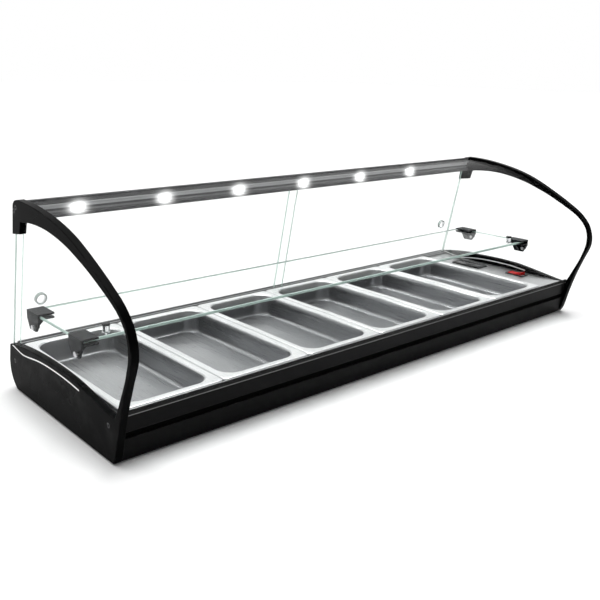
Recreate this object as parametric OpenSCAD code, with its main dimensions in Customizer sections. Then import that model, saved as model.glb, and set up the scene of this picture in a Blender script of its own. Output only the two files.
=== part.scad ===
// Countertop refrigerated deli case: six food pans under a curved glass, glass shelf, two rear doors.
// Millimetres, X along the length, Y towards the operator's side, Z up, origin under the middle.

/* [Case] */
// overall height over the end frames
case_height = 330; // [300:1:420]
// thickness of each end frame
frame_thickness = 13; // [10:0.2:18]
// width of the steel service deck right of the pans
service_width = 96; // [80:1:140]
// height of the steel deck above the counter
deck_height = 73; // [70:0.5:76]
// thickness of the steel deck sheet
deck_sheet = 1; // [0.8:0.1:1.5]
// height of the gap under the frames made by the feet
foot_gap = 2; // [1:0.5:4]
// radius of one rubber foot
foot_radius = 12; // [8:0.5:16]

/* [Pans] */
// nominal width of one pan, which is also the pitch of the row
pan_width = 176; // [140:1:220]
// nominal length of one pan, front to back
pan_length = 325; // [300:1:400]
// inside depth of a pan below its rim
pan_depth = 40; // [20:1:42]
// sheet thickness of a pan
pan_sheet = 1; // [0.6:0.1:1.5]
// width of the flat rim around a pan
pan_rim = 12; // [9:0.5:14]
// height of the turned-down lip of a pan
pan_lip = 7; // [4:0.5:9]
// corner radius inside a pan
pan_corner = 27; // [20:1:34]
// radius between the wall and the floor of a pan
pan_fillet = 9; // [5:0.5:12]
// how far a pan wall leans inwards over its depth
pan_draft = 3; // [1:0.5:5]

/* [Glass] */
// thickness of the curved front glass
front_glass_thickness = 4; // [3:0.1:5]
// thickness of the two end glasses
end_glass_thickness = 4; // [3:0.1:5]
// thickness of the shelf glass
shelf_thickness = 5; // [4:0.1:8]
// height of the shelf top above the counter
shelf_height = 148.6; // [140:0.1:190]
// depth of the shelf, front to back
shelf_depth = 182; // [120:1:200]
// distance of the shelf centre behind the case centre
shelf_centre = 50; // [30:1:60]
// thickness of the glass of a sliding door
door_thickness = 4; // [3:0.1:5]
// how much the two doors overlap in the middle
door_overlap = 16; // [10:1:40]
// radius of the finger hole inside its ring
finger_radius = 7.5; // [5:0.5:12]

/* [Lights] */
// number of the light points along the profile
led_count = 6; // [3:1:8]
// distance from one light point to the next
led_pitch = 168; // [120:1:175]
// radius of one light point
led_radius = 5; // [3:0.5:6]

/* [Switch] */
// width of the rocker across its length
rocker_width = 19; // [14:0.5:22]
// length of the rocker
rocker_length = 33; // [26:0.5:36]
// tilt of the rocker to each side
rocker_tilt = 8; // [5:0.5:10]

/* [Fit] */
// gap between parts that move past each other
moving_gap = 0.5; // [0.3:0.05:0.8]
// gap between parts that are fixed together
fixed_gap = 0.2; // [0.1:0.05:0.4]
// radial gap of a pin that turns in a hole
pin_gap = 0.06; // [0.03:0.01:0.1]

/* [Hidden] */

$fn = 48;
pan_count = 6;
nominal_height = 330;
nominal_pan_length = 325;
extra_z = case_height - nominal_height;
extra_y = (pan_length - nominal_pan_length) / 2;
stretch_y = 120;
stretch_z0 = 100;
stretch_z1 = 270;

// moves an outline point of the nominal end frame to the chosen depth and height
function clamp(v, a, b) = min(max(v, a), b);
function place(p) = [p[0] + clamp(p[0] / stretch_y, -1, 1) * extra_y,
    p[1] + clamp((p[1] - stretch_z0) / (stretch_z1 - stretch_z0), 0, 1) * extra_z];
function placed(list) = [for (p = list) place(p)];

// smooth curve through a list of points
function curve_point(a, b, c, d, t) = 0.5 * (2 * b + (c - a) * t + (2 * a - 5 * b + 4 * c - d) * t * t
    + (3 * b - a - 3 * c + d) * t * t * t);
function curve(p, n) = [for (i = [0 : len(p) - 2], k = [0 : n - 1])
    curve_point(p[max(i - 1, 0)], p[i], p[i + 1], p[min(i + 2, len(p) - 1)], k / n), p[len(p) - 1]];

// offset of an open line to its right-hand side
function unit(v) = v / norm(v);
function right(v) = [v[1], -v[0]];
function side(p, i) = let (
    a = unit(i > 0 ? p[i] - p[i - 1] : p[1] - p[0]),
    b = unit(i < len(p) - 1 ? p[i + 1] - p[i] : p[i] - p[i - 1]))
    (right(a) + right(b)) / (1 + a * b);
function moved(p, d) = [for (i = [0 : len(p) - 1]) p[i] + d * side(p, i)];
function turned(p) = [for (i = [len(p) - 1 : -1 : 0]) p[i]];
function longer(p, e) = let (n = len(p) - 1)
    concat([p[0] + e * unit(p[0] - p[1])], p, [p[n] + e * unit(p[n] - p[n - 1])]);
function band(p, d0, d1) = concat(moved(p, d0), turned(moved(p, d1)));

// outline of the end frame, as [Y, Z]
frame_front = [[-146.5, 2], [-153, 15], [-161.5, 51], [-172.3, 90], [-186, 129], [-197.6, 159],
    [-200, 176], [-197.2, 193], [-187.5, 214], [-166.5, 235], [-141, 251], [-121, 262.3],
    [-101, 272.7], [-81, 282.7], [-61, 292], [-41.6, 300.2], [-21.8, 307], [-2, 312.6],
    [17.8, 317.3], [37.6, 321.1], [57.4, 324.3], [77.2, 326.9], [97, 328.7], [117, 329.7], [135, 330]];
frame_crown = [[135, 330], [144.5, 327.6], [151.3, 321.5], [153, 312.5]];
tab_rear = [158.7, 272.1];
tab_front = [131.4, 275.9];
frame_inner = [[125.7, 296], [97, 299.5], [67, 300.5], [37.6, 299], [17.8, 296.4], [-7, 291.8],
    [-33.7, 285], [-53.5, 278.3], [-84, 267], [-105, 257.6], [-134.6, 243.4], [-164.5, 226.5],
    [-183.5, 207.5], [-190.8, 190], [-192, 176], [-190, 160], [-181, 132], [-168.3, 103],
    [-160, 84], [-153.5, 73]];
cheek_top = [[-153.5, 73], [-140, 73], [-95, 79.5], [-48.5, 86.2], [-15, 89.2], [25, 90.6],
    [63, 90.5], [113, 88.3], [166, 82.8], [195, 77]];
cheek_rear = [[200, 48], [197.8, 29], [188.5, 12.5], [175.5, 2]];
smooth = 3;
front_line = curve(placed(frame_front), smooth);
crown_line = curve(placed(frame_crown), smooth);
inner_line = curve(placed(frame_inner), smooth);
cheek_line = curve(placed(cheek_top), smooth);
rear_line = curve(placed(cheek_rear), smooth);
frame_outline = concat(front_line, crown_line, placed([tab_rear, tab_front]), inner_line, cheek_line,
    rear_line);

// rear plane in which the doors run
rear_foot = place([195, 77]);
rear_head = place(tab_rear);
lean = atan2(rear_foot[0] - rear_head[0], rear_head[1] - rear_foot[1]);
function in_plane(w, v) = [rear_foot[0] + w * cos(lean) - v * sin(lean),
    rear_foot[1] + w * sin(lean) + v * cos(lean)];

// lengths along X
pan_side_gap = 1;
inner_half = (pan_count * pan_width + service_width) / 2 + pan_side_gap;
outer_half = inner_half + frame_thickness;
pan_start = -inner_half + pan_side_gap;
service_start = pan_start + pan_count * pan_width;
inside_half = inner_half - moving_gap;
half_depth = 200 + extra_y;

// end glass in the middle of each frame, front glass in a groove on the inner faces
slot_bite = 4.2;
slot_width = end_glass_thickness + 2 * fixed_gap;
slot_start = (frame_thickness - slot_width) / 2;
opening_line = concat(placed([[156.5, 272.4], tab_front]), inner_line,
    [for (i = [1 : len(cheek_line) - 2]) cheek_line[i]], placed([[192.5, 77.5]]));
glass_groove = 3;
front_glass_line = curve(placed([[-154.9, 75.2], [-159.8, 84], [-170.4, 104], [-183.4, 132],
    [-193.6, 160], [-195.9, 176], [-194, 191.5], [-185.8, 210.3], [-166.5, 230], [-138.4, 247.7],
    [-108, 263.6], [-87.3, 273.8], [-58.5, 287.2], [-38, 295.6], [-9.2, 305], [15.8, 311.4],
    [37, 315.6], [67, 319.9], [97, 322.8], [117, 323.9], [136, 324.3]]), smooth);
half_front_glass = front_glass_thickness / 2;

// inlaid white line in both faces of each frame
inlay_line = curve(placed([[186, 78.2], [166, 75.4], [145, 72.8], [124, 74.6], [100, 78.2],
    [76, 80.8], [50, 82], [22, 82.2], [-4, 81.6], [-28, 80.2], [-52, 78]]), smooth);
inlay_depth = 1.5;
inlay_half_width = 1.3;

// pans
pan_gap = 0.6;
pan_outer = [pan_width - pan_gap, pan_length - pan_gap];
pan_centre_y = 12.6;
pan_rest = 0.3;
pan_top = deck_height + pan_rest + pan_lip;
pan_inner = [pan_width - 2 * pan_rim, pan_length - 2 * pan_rim];
rim_corner = 8;
pan_floor = pan_top - pan_depth;
deck_hole_margin = 4;
pan_front_y = pan_centre_y - pan_outer[1] / 2;

// deck and front
deck_front_y = pan_front_y - 3.2;
deck_rear_y = in_plane(-18, 0)[0] - moving_gap;
lip_thickness = 2;
seal_outline = [[-157.2, 73.2], [-157.4, 79], [-156.6, 80.2], [-154, 80.2], [-153.2, 79], [-153.2, 73.2]];
fascia_sheet = 3;
fascia_top = 71.7;
fascia_break_top = 46;
fascia_break_bottom = 36.5;
fascia_bottom = 2.6;
function fascia_y(z) = place([-147 - 9.6 * z / 77, 0])[0];
trim_height = 1.5;

// light profile and doors
profile_front_y = place([131.7, 300])[0];
profile_bottom = 296 + extra_z;
profile_top = case_height - 1.5;
channel_height = 14;
channel_depth = 4;
channel_z = 308 + extra_z;
led_start = -487;
door_pitch = 8;
outer_door_w = -5;
inner_door_w = outer_door_w - door_pitch;
track_slot = door_thickness + 2 * moving_gap;
track_depth = 18;
track_low = -8;
track_high = 3;
slot_floor = -4;
door_low = slot_floor + 0.4;
door_high = (profile_bottom - rear_foot[1]) / cos(lean) + 5.2;
lift_room = 5;
door_width = inside_half + door_overlap / 2;
ring_lip = 2;
ring_wall = 1;
ring_proud = 1.1;
ring_from_end = 34;
ring_v = 82 + extra_z * 0.4;

// shelf and its brackets
shelf_half = inner_half - 1;
bracket_reach = 24;
bracket_length = 40;
bracket_plate = 3;
bracket_drop = 22;
bracket_shoulder = 6;
bracket_foot = 11;
glass_face = inner_half + slot_start + fixed_gap;
front_bracket_y = shelf_centre - shelf_depth / 2 + 12;
rear_bracket_y = shelf_centre + shelf_depth / 2 - 25;
post_radius = 5.5;
post_height = 11;
post_inset = 47;

// base
tray_sheet = 1.2;
tray_bottom = 3.6;
tray_front_y = place([-143, 0])[0];
block_length = 9;
block_size = 12;
front_block = place([-135.6, 56]);
rear_block = place([178, 52]);
crown_screw_1 = [profile_front_y + 9.5, 317 + extra_z];
crown_screw_2 = [profile_front_y + 16.6, 311.2 + extra_z];
screw_head = 4;
screw_shank = 2;
screw_head_height = 2.6;
screw_length = 20;
plate_z = 30.5;
plate_sheet = 1.5;
coil_radius = 4;
coil_runs = 6;
coil_pitch = (pan_length - 75) / (coil_runs - 1);
coil_z = plate_z - coil_radius - 0.1;
coil_left = -inner_half + 45;
coil_right = service_start - 45;
coil_first_y = pan_centre_y - coil_pitch * (coil_runs - 1) / 2;
tail_bend = 10;
window_width = 80;
window_x = inner_half - 52;
window_low = 33;
window_high = 63;
pocket_y = place([177, 0])[0];
fitting_z = 48;
foam_top = 21;

// service deck
switch_x = inner_half - 31;
switch_y = place([-49, 0])[0];
switch_wall = 2.6;
switch_flange = 2;
switch_depth = 24;
pivot_z = deck_height - 2.5;
pin_radius = 1.6;
pin_reach = 1.6;
thermostat_x = inner_half - 44;
thermostat_y = place([73, 0])[0];
bezel_size = [38, 78];
bezel_height = 2.4;
connection_step = 18;
stem_radius = 5.5;
cavity = [rocker_width + 2 * moving_gap, rocker_length + 3.2];
housing_size = cavity + [2, 2] * switch_wall;
body_size = [28, 70];
window_size = [22, 30];
window_offset = 19;
key_size = [14, 8];
key_offsets = [-5, -17, -29];

module along_x(from_x, to_x) {
    translate([from_x, 0, 0]) rotate([90, 0, 90]) linear_extrude(to_x - from_x) children();
}

module block(a, b) {
    translate(a) cube(b - a);
}

module rounded(size, r) {
    square([size[0] - 2 * r, size[1]], center = true);
    square([size[0], size[1] - 2 * r], center = true);
    for (x = [-1, 1], y = [-1, 1])
        translate([x * (size[0] / 2 - r), y * (size[1] / 2 - r)]) circle(r);
}

module screw_places() {
    for (p = [front_block, rear_block, crown_screw_1, crown_screw_2])
        translate([outer_half, p[0], p[1]]) rotate([0, -90, 0]) children();
}

// right end frame, the left one is its mirror image
module end_frame() {
    color([0.1, 0.1, 0.105]) difference() {
        along_x(inner_half, outer_half) polygon(frame_outline);
        along_x(inner_half + slot_start, inner_half + slot_start + slot_width)
            polygon(moved(longer(opening_line, fixed_gap), slot_bite + fixed_gap));
        along_x(inner_half - 1, inner_half + glass_groove)
            glass_groove_shape();
        along_x(inner_half - 1, inner_half + inlay_depth) inlay_shape();
        along_x(outer_half - inlay_depth, outer_half + 1) inlay_shape();
        screw_places() {
            translate([0, 0, -1]) cylinder(r = screw_head + fixed_gap, h = screw_head_height + 1.3);
            cylinder(r = screw_shank + fixed_gap, h = frame_thickness + 1);
        }
    }
}

module glass_groove_shape() {
    half = half_front_glass + fixed_gap;
    polygon(band(longer(front_glass_line, fixed_gap), half, -half));
}

module inlay_shape() {
    polygon(band(inlay_line, -inlay_half_width, inlay_half_width));
}

module frame_inlay() {
    color([0.9, 0.92, 0.9]) {
        along_x(inner_half, inner_half + inlay_depth) inlay_shape();
        along_x(outer_half - inlay_depth, outer_half) inlay_shape();
    }
}

module end_glass() {
    color([0.8, 0.9, 0.87, 0.35]) difference() {
        along_x(glass_face, glass_face + end_glass_thickness) polygon(moved(opening_line, slot_bite));
        for (y = [front_bracket_y, rear_bracket_y])
            translate([glass_face - 1, y - 10, shelf_height - shelf_thickness - 14])
                rotate([0, 90, 0]) cylinder(r = screw_shank + fixed_gap, h = end_glass_thickness + 2);
    }
}

module left_end_frame() {
    mirror([1, 0, 0]) end_frame();
}

module right_end_frame() {
    end_frame();
}

module left_frame_inlay() {
    mirror([1, 0, 0]) frame_inlay();
}

module right_frame_inlay() {
    frame_inlay();
}

module left_end_glass() {
    mirror([1, 0, 0]) end_glass();
}

module right_end_glass() {
    end_glass();
}

module front_glass() {
    reach = inner_half + glass_groove - fixed_gap;
    color([0.8, 0.9, 0.87, 0.35]) along_x(-reach, reach)
        polygon(band(front_glass_line, half_front_glass, -half_front_glass));
}

module front_glass_seal() {
    color([0.07, 0.07, 0.07]) along_x(-inside_half, inside_half) difference() {
        polygon(placed(seal_outline));
        glass_groove_shape();
    }
}

module light_profile() {
    w0 = -0.8;
    color([0.42, 0.43, 0.44]) difference() {
        along_x(-inside_half, inside_half) difference() {
            polygon(concat([[profile_front_y, profile_bottom], in_plane(w0, door_high - 10)],
                turned(moved(crown_line, 1.5)), [[profile_front_y, profile_top]]));
            for (w = [outer_door_w, inner_door_w])
                translate(rear_foot) rotate(lean)
                    translate([w - track_slot / 2, door_high - 20])
                        square([track_slot, 20 + lift_room]);
            translate([profile_front_y - 1, channel_z - channel_height / 2])
                square([channel_depth + 1, channel_height]);
            glass_groove_shape();
        }
        for (m = [0, 1]) mirror([m, 0, 0])
            screw_places() cylinder(r = screw_shank + fixed_gap, h = screw_length + 2);
    }
}

module led_board() {
    y0 = profile_front_y + channel_depth - fixed_gap;
    color([0.85, 0.86, 0.86]) block(
        [-inside_half + 2, y0 - 1.2, channel_z - channel_height / 2 + 1.5],
        [inside_half - 2, y0, channel_z + channel_height / 2 - 1.5]);
}

module led_modules() {
    y0 = profile_front_y + channel_depth - fixed_gap - 1.2;
    color([1, 1, 0.95]) for (i = [0 : led_count - 1])
        translate([led_start + i * led_pitch, y0, channel_z]) rotate([90, 0, 0]) {
            cylinder(r = led_radius, h = 1.2);
            translate([0, 0, 1.2]) cylinder(r1 = led_radius * 0.8, r2 = led_radius * 0.5, h = 1.2);
        }
}

module glass_shelf() {
    color([0.75, 0.88, 0.83, 0.45]) difference() {
        block([-shelf_half, shelf_centre - shelf_depth / 2, shelf_height - shelf_thickness],
            [shelf_half, shelf_centre + shelf_depth / 2, shelf_height]);
        for (m = [-1, 1])
            translate([m * (inner_half - post_inset), front_bracket_y, shelf_height - shelf_thickness - 1])
                cylinder(r = 2 + fixed_gap, h = shelf_thickness + 2);
    }
}

// shelf bracket on the right end glass: jaw around the shelf and a gusset below it
module bracket(y) {
    x1 = glass_face - 0.05;
    x0 = inner_half - bracket_reach;
    z_low = shelf_height - shelf_thickness - fixed_gap;
    z_high = shelf_height + fixed_gap;
    y0 = y - bracket_length / 2;
    y1 = y + bracket_length / 2;
    color([0.2, 0.21, 0.215]) difference() {
        union() {
            block([x0, y0, z_high], [x1, y1, z_high + bracket_plate]);
            block([x0, y0, z_low - bracket_plate], [x1, y1, z_low]);
            along_x(x1 - 4, x1) polygon([[y0, z_high + bracket_plate], [y0, z_low - bracket_shoulder],
                [y - bracket_foot, z_low - bracket_drop], [y + bracket_foot, z_low - bracket_drop],
                [y1, z_low - bracket_shoulder], [y1, z_high + bracket_plate]]);
            translate([0, y + 3, 0]) rotate([90, 0, 0]) linear_extrude(6)
                polygon([[x1 - 3, z_low - bracket_drop], [x1 - 3, z_low - 1], [x0 + 2, z_low - 1]]);
        }
        translate([x1 - 9, y - 10, z_low - 14 + fixed_gap]) rotate([0, 90, 0])
            cylinder(r = screw_shank + fixed_gap, h = 12);
    }
}

module bracket_front_left() {
    mirror([1, 0, 0]) bracket(front_bracket_y);
}

module bracket_front_right() {
    bracket(front_bracket_y);
}

module bracket_rear_left() {
    mirror([1, 0, 0]) bracket(rear_bracket_y);
}

module bracket_rear_right() {
    bracket(rear_bracket_y);
}

module bracket_screws() {
    x1 = glass_face - 0.05;
    z = shelf_height - shelf_thickness - 14;
    color([0.7, 0.7, 0.72])
        for (m = [0, 1], y = [front_bracket_y, rear_bracket_y]) mirror([m, 0, 0])
            translate([0, y - 10, z]) rotate([0, 90, 0]) {
                translate([0, 0, x1 - 6.5]) cylinder(r = 3.6, h = 2.4);
                translate([0, 0, x1 - 4.2]) cylinder(r = screw_shank, h = end_glass_thickness + 5);
                translate([0, 0, glass_face + end_glass_thickness + 0.1]) cylinder(r = 4, h = 2.8);
            }
}

module shelf_posts() {
    color([0.75, 0.76, 0.78]) for (m = [-1, 1])
        translate([m * (inner_half - post_inset), front_bracket_y, shelf_height]) {
            cylinder(r = post_radius, h = post_height);
            translate([0, 0, -shelf_thickness]) cylinder(r = 2, h = shelf_thickness + 1);
        }
}

module shelf_post_caps() {
    color([0.12, 0.12, 0.12]) for (m = [-1, 1])
        translate([m * (inner_half - post_inset), front_bracket_y, shelf_height + post_height])
            cylinder(r = post_radius + 0.8, h = 3.5);
}

module at_plane(x, w, v) {
    translate([x, in_plane(w, v)[0], in_plane(w, v)[1]]) rotate([lean - 90, 0, 0]) children();
}

module sliding_door(from_x, to_x, w, hole_x) {
    color([0.8, 0.9, 0.87, 0.35]) difference() {
        along_x(from_x, to_x) translate(rear_foot) rotate(lean)
            translate([w - door_thickness / 2, door_low]) square([door_thickness, door_high - door_low]);
        at_plane(hole_x, w, ring_v)
            cylinder(r = finger_radius + ring_wall + 0.05, h = door_thickness + 2, center = true);
    }
}

module door_ring(x, w) {
    r1 = finger_radius + ring_wall;
    half = door_thickness / 2;
    color([0.3, 0.31, 0.32]) at_plane(x, w, ring_v) rotate_extrude() polygon([
        [finger_radius, -half - ring_proud], [r1 + ring_lip, -half - ring_proud],
        [r1 + ring_lip, -half - 0.02], [r1, -half - 0.02], [r1, half + 0.02],
        [r1 + ring_lip, half + 0.02], [r1 + ring_lip, half + ring_proud],
        [finger_radius, half + ring_proud]]);
}

module left_sliding_door() {
    sliding_door(-inside_half, -inside_half + door_width, inner_door_w, -inner_half + ring_from_end);
}

module right_sliding_door() {
    sliding_door(inside_half - door_width, inside_half, outer_door_w, inner_half - ring_from_end);
}

module left_door_ring() {
    door_ring(-inner_half + ring_from_end, inner_door_w);
}

module right_door_ring() {
    door_ring(inner_half - ring_from_end, outer_door_w);
}

module lower_door_track() {
    color([0.3, 0.31, 0.32]) along_x(-inside_half, inside_half)
        translate(rear_foot) rotate(lean) difference() {
            translate([-track_depth, track_low]) square([track_depth - 0.3, track_high - track_low]);
            for (w = [outer_door_w, inner_door_w])
                translate([w - track_slot / 2, slot_floor]) square([track_slot, track_high + 5]);
        }
}

module deck_panel() {
    hole = [pan_inner[0] + 2 * deck_hole_margin, pan_inner[1] + 2 * deck_hole_margin];
    color([0.8, 0.81, 0.82]) translate([0, 0, deck_height - deck_sheet]) linear_extrude(deck_sheet)
        difference() {
            translate([-inside_half, deck_front_y]) square([2 * inside_half, deck_rear_y - deck_front_y]);
            for (i = [0 : pan_count - 1])
                translate([pan_start + (i + 0.5) * pan_width, pan_centre_y])
                    square(hole, center = true);
            translate([switch_x, switch_y]) square(housing_size + [2, 2] * fixed_gap, center = true);
            translate([thermostat_x, thermostat_y])
                square(body_size + [2, 2] * fixed_gap, center = true);
        }
}

module front_lip() {
    color([0.85, 0.86, 0.87]) block([-inside_half, deck_front_y, deck_height],
        [service_start, deck_front_y + lip_thickness, deck_height + pan_lip - 0.8]);
}

module fascia(z0, z1) {
    color([0.09, 0.09, 0.095]) along_x(-inside_half, inside_half) polygon([
        [fascia_y(z0), z0], [fascia_y(z0) + fascia_sheet, z0],
        [fascia_y(z1) + fascia_sheet, z1], [fascia_y(z1), z1]]);
}

module upper_fascia() {
    fascia(fascia_break_top, fascia_top);
}

module lower_fascia() {
    fascia(fascia_bottom, fascia_break_bottom);
}

module fascia_groove_strip() {
    y0 = fascia_y(fascia_break_bottom - 3) + fascia_sheet + fixed_gap;
    color([0.04, 0.04, 0.04]) block([-inside_half, y0, fascia_break_bottom - 3],
        [inside_half, y0 + 1.6, fascia_break_top + 3]);
}

module fascia_edge_trim() {
    y0 = fascia_y(fascia_top);
    color([0.8, 0.8, 0.8]) block([-inside_half, y0 - 0.6, fascia_top],
        [inside_half, y0 + 2.4, fascia_top + trim_height]);
}

module base_tray() {
    path = placed([[-143, 71.5], [-143, tray_bottom], [174, tray_bottom], [185.5, 12.8], [194, 28.6]]);
    color([0.25, 0.25, 0.26]) along_x(-inside_half, inside_half) polygon(band(path, 0, -tray_sheet));
}

module rear_panel() {
    path = concat(placed([[195.2, 30.2], [198.2, 48]]), [in_plane(-0.6, track_low - 0.4),
        in_plane(-14, track_low - 0.4)]);
    color([0.25, 0.25, 0.26]) difference() {
        along_x(-inside_half, inside_half) polygon(band(path, 0, -tray_sheet));
        block([window_x - window_width / 2, pocket_y, window_low],
            [window_x + window_width / 2, half_depth + 5, window_high]);
    }
}

// recessed tub behind the window of the rear panel, with holes for the connections
module connection_plate() {
    a = window_x - window_width / 2 + fixed_gap;
    b = window_x + window_width / 2 - fixed_gap;
    rear_y = place([194.6, 0])[0];
    color([0.12, 0.12, 0.12]) difference() {
        block([a, pocket_y - 2, window_low + fixed_gap], [b, rear_y, window_high - fixed_gap]);
        block([a + 2, pocket_y, window_low + 2], [b - 2, rear_y + 1, window_high - 2]);
        connections() translate([0, 0, -5]) cylinder(r = stem_radius + fixed_gap, h = 10);
    }
}

// the four connections in the tub: two lines, the drain and the cable entry
module connections() {
    for (i = [0 : 3]) connection(i) children();
}

module connection(i) {
    translate([window_x + (i - 1.5) * connection_step, pocket_y, fitting_z]) rotate([-90, 0, 0])
        children();
}

module mounting_blocks() {
    color([0.5, 0.5, 0.52]) for (m = [0, 1], p = [front_block, rear_block]) mirror([m, 0, 0])
        difference() {
            block([inner_half - block_length, p[0] - block_size / 2, p[1] - block_size / 2],
                [inner_half - 0.1, p[0] + block_size / 2, p[1] + block_size / 2]);
            screw_places() cylinder(r = screw_shank + 0.05, h = screw_length + 4);
        }
}

// section of a pan body, as [distance outwards from the corner axis, height below the rim]
function wall_point(h, out) = [pan_corner - pan_draft * h / pan_depth + out, -h];
function pan_section() = let (
    steps = 5,
    foot = pan_corner - pan_draft,
    inner = [for (i = [0 : steps]) let (a = 90 * i / steps)
        [foot - pan_fillet + pan_fillet * cos(a), -pan_depth + pan_fillet - pan_fillet * sin(a)]],
    outer = [for (i = [0 : steps]) let (a = 90 * i / steps)
        [foot - pan_fillet + (pan_fillet + pan_sheet) * cos(a),
            -pan_depth + pan_fillet - (pan_fillet + pan_sheet) * sin(a)]])
    concat([[pan_corner, 0]], inner, [[0, -pan_depth], [0, -pan_depth - pan_sheet]],
        turned(outer), [[pan_corner + pan_sheet, -pan_sheet], [pan_corner + pan_sheet, 0]]);

module pan_side(length) {
    rotate([90, 0, 0]) linear_extrude(length, center = true) polygon(pan_section());
}

module gn_pan(i) {
    a = pan_inner[0] / 2 - pan_corner;
    b = pan_inner[1] / 2 - pan_corner;
    color([0.83, 0.84, 0.85]) translate([pan_start + (i - 0.5) * pan_width, pan_centre_y, pan_top]) {
        for (q = [[a, b, 0], [-a, b, 90], [-a, -b, 180], [a, -b, 270]])
            translate([q[0], q[1], 0]) rotate([0, 0, q[2]]) rotate_extrude(angle = 90)
                polygon(pan_section());
        for (m = [0, 180]) rotate([0, 0, m]) translate([a, 0, 0]) pan_side(2 * b);
        for (m = [90, 270]) rotate([0, 0, m]) translate([b, 0, 0]) pan_side(2 * a);
        translate([-a, -b, -pan_depth - pan_sheet]) cube([2 * a, 2 * b, pan_sheet]);
        translate([0, 0, -pan_sheet]) linear_extrude(pan_sheet) difference() {
            rounded(pan_outer, rim_corner);
            rounded(pan_inner + [1, 1] * pan_sheet, pan_corner + pan_sheet / 2);
        }
        translate([0, 0, -pan_lip]) linear_extrude(pan_lip) difference() {
            rounded(pan_outer, rim_corner);
            rounded(pan_outer - [2, 2] * pan_sheet, rim_corner - pan_sheet);
        }
    }
}

module gn_pan_1() {
    gn_pan(1);
}

module gn_pan_2() {
    gn_pan(2);
}

module gn_pan_3() {
    gn_pan(3);
}

module gn_pan_4() {
    gn_pan(4);
}

module gn_pan_5() {
    gn_pan(5);
}

module gn_pan_6() {
    gn_pan(6);
}

module cold_plate() {
    color([0.72, 0.73, 0.74]) block([-inner_half + 12, place([-138, 0])[0], plate_z],
        [service_start - 8, place([164, 0])[0], plate_z + plate_sheet]);
}

module elbow(bend) {
    rotate_extrude(angle = 90) translate([bend, 0]) circle(coil_radius);
}

module run(from_x, to_x, y) {
    translate([from_x, y, coil_z]) rotate([0, 90, 0]) cylinder(r = coil_radius, h = to_x - from_x);
}

// pipe from the end of a run to its fitting in the rear tub
module tail(x, y) {
    rise_y = place([148, 0])[0];
    end_y = pocket_y - 1;
    step = fitting_z - coil_z - 2 * tail_bend;
    run(coil_right, x - tail_bend, y);
    translate([x - tail_bend, y + tail_bend, coil_z]) rotate([0, 0, -90]) elbow(tail_bend);
    translate([x, y + tail_bend, coil_z]) rotate([-90, 0, 0])
        cylinder(r = coil_radius, h = rise_y - y - tail_bend);
    translate([x, rise_y, coil_z + tail_bend]) rotate([90, 0, 90]) rotate([0, 0, -90]) elbow(tail_bend);
    translate([x, rise_y + tail_bend, coil_z + tail_bend]) cylinder(r = coil_radius, h = step);
    translate([x, rise_y + 2 * tail_bend, coil_z + tail_bend + step]) rotate([90, 0, 90])
        rotate([0, 0, 90]) elbow(tail_bend);
    translate([x, rise_y + 2 * tail_bend, fitting_z]) rotate([-90, 0, 0])
        cylinder(r = coil_radius, h = end_y - rise_y - 2 * tail_bend);
}

module evaporator_coil() {
    last_y = coil_first_y + (coil_runs - 1) * coil_pitch;
    color([0.72, 0.45, 0.3]) {
        for (i = [0 : coil_runs - 1]) run(coil_left, coil_right, coil_first_y + i * coil_pitch);
        for (i = [0 : coil_runs - 2])
            translate([i % 2 == 0 ? coil_left : coil_right, coil_first_y + (i + 0.5) * coil_pitch, coil_z])
                rotate([0, 0, i % 2 == 0 ? 90 : -90]) rotate_extrude(angle = 180)
                    translate([coil_pitch / 2, 0]) circle(coil_radius);
        tail(window_x - 1.5 * connection_step, last_y);
        tail(window_x - 0.5 * connection_step, coil_first_y);
    }
}

module insulation() {
    color([0.85, 0.83, 0.7]) block(
        [-inner_half + 2, place([-141, 0])[0], tray_bottom + tray_sheet],
        [service_start - 2, place([173, 0])[0], foam_top]);
}

module line_fittings() {
    color([0.75, 0.6, 0.3]) for (i = [0, 1]) connection(i) difference() {
        union() {
            translate([0, 0, -7]) cylinder(r = stem_radius, h = 8);
            translate([0, 0, 0.1]) cylinder(r = 8, h = 7, $fn = 6);
            translate([0, 0, 7]) cylinder(r = 5, h = 8);
        }
        translate([0, 0, -8]) cylinder(r = coil_radius + 0.05, h = 8);
    }
}

module drain_spout() {
    color([0.6, 0.6, 0.58]) connection(2) difference() {
        union() {
            translate([0, 0, -7]) cylinder(r = stem_radius, h = 21);
            translate([0, 0, 0.1]) cylinder(r = stem_radius + 2, h = 2);
        }
        translate([0, 0, -8]) cylinder(r = stem_radius - 1.5, h = 24);
    }
}

module cable_gland() {
    color([0.08, 0.08, 0.08]) connection(3) difference() {
        union() {
            translate([0, 0, -7]) cylinder(r = stem_radius, h = 8);
            translate([0, 0, 0.1]) cylinder(r = 8, h = 5, $fn = 6);
            translate([0, 0, 5]) cylinder(r1 = 7.4, r2 = 5.4, h = 9);
        }
        translate([0, 0, -8]) cylinder(r = 3, h = 24);
    }
}

module led_driver() {
    color([0.8, 0.8, 0.78]) block([inner_half - 42, place([-130, 0])[0], tray_bottom + tray_sheet],
        [inner_half - 12, place([-30, 0])[0], 30]);
}

// rocker switch in the service deck
module at_pivot() {
    translate([switch_x, switch_y, pivot_z]) rotate([0, 90, 0]) children();
}

module switch_housing() {
    color([0.08, 0.08, 0.08]) difference() {
        translate([switch_x, switch_y, deck_height - switch_depth]) {
            linear_extrude(switch_depth + 0.5) square(housing_size, center = true);
            translate([0, 0, switch_depth]) linear_extrude(switch_flange)
                rounded(housing_size + [3, 3], 2);
        }
        translate([switch_x, switch_y, deck_height - 15]) linear_extrude(20) square(cavity, center = true);
        at_pivot() cylinder(r = pin_radius + pin_gap, h = cavity[0] + 2 * pin_reach + 0.8, center = true);
    }
}

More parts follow.
